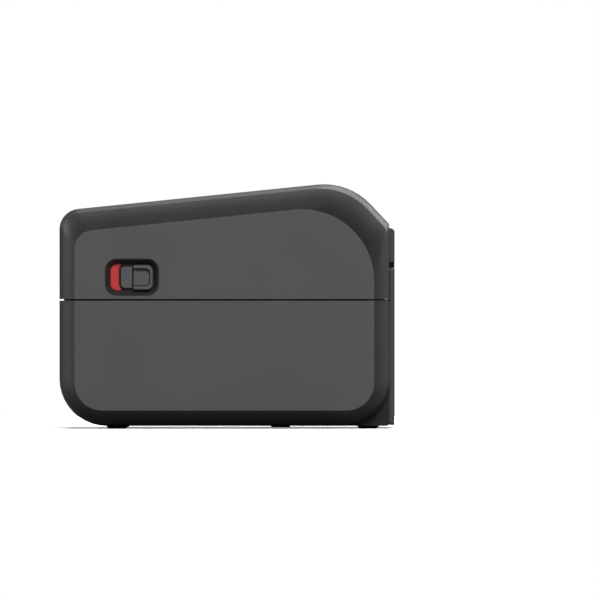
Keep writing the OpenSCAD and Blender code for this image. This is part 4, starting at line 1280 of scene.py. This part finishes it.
@dataclass
class Studio:
    """The pale floor, the soft lamps, the world and the camera.

    Attributes:
        floor_half: Half the side of the floor, in metres.
        floor_tone: Grey of the floor where it is seen.
        bounce_tone: Grey that it throws back at the printer.
        glow_reach: Distances from the middle between which its glow grows, in metres.
        glow: Strength of the glow at those distances.
        ambient: Strength of the world's light on the printer.
        lens: Focal length of the camera, in millimetres.
        sensor: Width of its sensor, in millimetres.
        field_width: Width of the picture at the printer, in metres.
        centre: The point at the middle of the picture.
        lamps: The softboxes.
    """

    floor_half: float = 0.85
    floor_tone: float = 0.6
    bounce_tone: float = 0.1
    glow_reach: Pair = (0.12, 0.5)
    glow: Pair = (0.3, 1.0)
    ambient: float = 0.1
    lens: float = 800.0
    sensor: float = 36.0
    field_width: float = 0.3972
    centre: Triple = (0.0479, 0.0, 0.0845)
    lamps: list[Lamp] = field(default_factory=lambda: [
        Lamp("Key softbox", (0.15, -1.9, 1.75), (1.1, 0.9), 72.0, glossy=False),
        Lamp("Top softbox", (0.7, 0.75, 2.15), (1.6, 1.0), 56.0),
        Lamp("Top fill softbox", (0.1, 0.6, 2.3), (1.5, 1.0), 70.0, glossy=False),
        Lamp("Front side softbox", (-2.1, -0.3, 0.9), (0.9, 1.2), 28.0),
        Lamp("Rear side softbox", (2.0, 0.45, 1.45), (1.0, 1.2), 64.0),
    ])

    def build(self) -> None:
        """Set the stage, light it and stand the camera."""
        self._floor()
        self._world()
        for lamp in self.lamps:
            lamp.build()
        self._camera()
        bpy.context.scene.view_settings.view_transform = "Standard"

    def _floor(self) -> None:
        """Lay a floor that keeps the printer's shadow and glows white away from it."""
        shape = bmesh.new()
        bmesh.ops.create_grid(shape, x_segments=1, y_segments=1, size=self.floor_half)
        floor = object_from("studio_floor", shape)
        material = bpy.data.materials.new("Studio floor")
        graph = NodeGraph.fresh(material)
        plain, bounce = (
            graph.add("ShaderNodeBsdfDiffuse", {"Color": rgba((tone, tone, tone))})
            for tone in (self.floor_tone, self.bounce_tone)
        )
        reach = graph.add("ShaderNodeVectorMath", {0: graph.place()}, operation="LENGTH")
        rise = graph.ramp(reach.outputs["Value"], self.glow_reach, self.glow, "SMOOTHSTEP")
        glow = graph.add("ShaderNodeEmission", {"Strength": rise})
        seen = graph.add("ShaderNodeAddShader", {0: plain.outputs[0], 1: glow.outputs[0]})
        self._split(graph, bounce, seen, "ShaderNodeOutputMaterial")
        floor.data.materials.append(material)
        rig.stage(floor)

    @staticmethod
    def _split(
        graph: NodeGraph, hidden: bpy.types.Node, seen: bpy.types.Node, output: str
    ) -> None:
        """Show the camera one shader, and light the printer with another.

        Args:
            graph: The graph helper.
            hidden: The shader that lights the printer and shows in its reflections.
            seen: The shader for the camera, straight or through clear plastic.
            output: The type name of the output node.
        """
        path = graph.add("ShaderNodeLightPath").outputs
        mask = graph.math("MAXIMUM", path["Is Camera Ray"], path["Is Transmission Ray"])
        chosen = graph.add("ShaderNodeMixShader", {0: mask, 1: hidden.outputs[0], 2: seen.outputs[0]})
        graph.add(output, {"Surface": chosen.outputs[0]})

    def _world(self) -> None:
        """Make the background white and the ambient light weak."""
        world = bpy.data.worlds.new("Studio world")
        bpy.context.scene.world = world
        graph = NodeGraph.fresh(world)
        ambient, white = (
            graph.add("ShaderNodeBackground", {"Strength": strength, "Color": rgba(WHITE)})
            for strength in (self.ambient, 1.0)
        )
        self._split(graph, ambient, white, "ShaderNodeOutputWorld")

    def _camera(self) -> None:
        """Stand the camera level, square to the printer's right side."""
        data = bpy.data.cameras.new("Side camera")
        data.sensor_width = self.sensor
        data.lens = self.lens
        distance = self.lens / self.sensor * self.field_width
        data.clip_start = 0.1
        data.clip_end = distance * 3
        camera = bpy.data.objects.new("Side camera", data)
        camera.location = Vector(self.centre) - Vector((0.0, distance, 0.0))
        camera.rotation_euler = (math.pi / 2, 0.0, 0.0)
        bpy.context.scene.collection.objects.link(camera)
        bpy.context.scene.camera = camera


# ---------------- the whole printer


def save_boxes() -> None:
    """Write the CAD box and the finished model's box for comparison."""
    boxes = {
        "cad": [list(corner) for corner in CAD_BOX],
        "visual": [list(corner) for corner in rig.bounds()],
    }
    with open("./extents.json", "w") as sheet:
        json.dump(boxes, sheet, indent=1)


def main() -> None:
    """Build every sub-assembly in order, then the studio."""
    for group in (
        Housing(), SideLatches(), LabelPath(), Drive(), RollBay(), HeadUnit(), Electronics(),
    ):
        group.build()
    Studio().build()
    save_boxes()


if __name__ == "__main__":
    main()
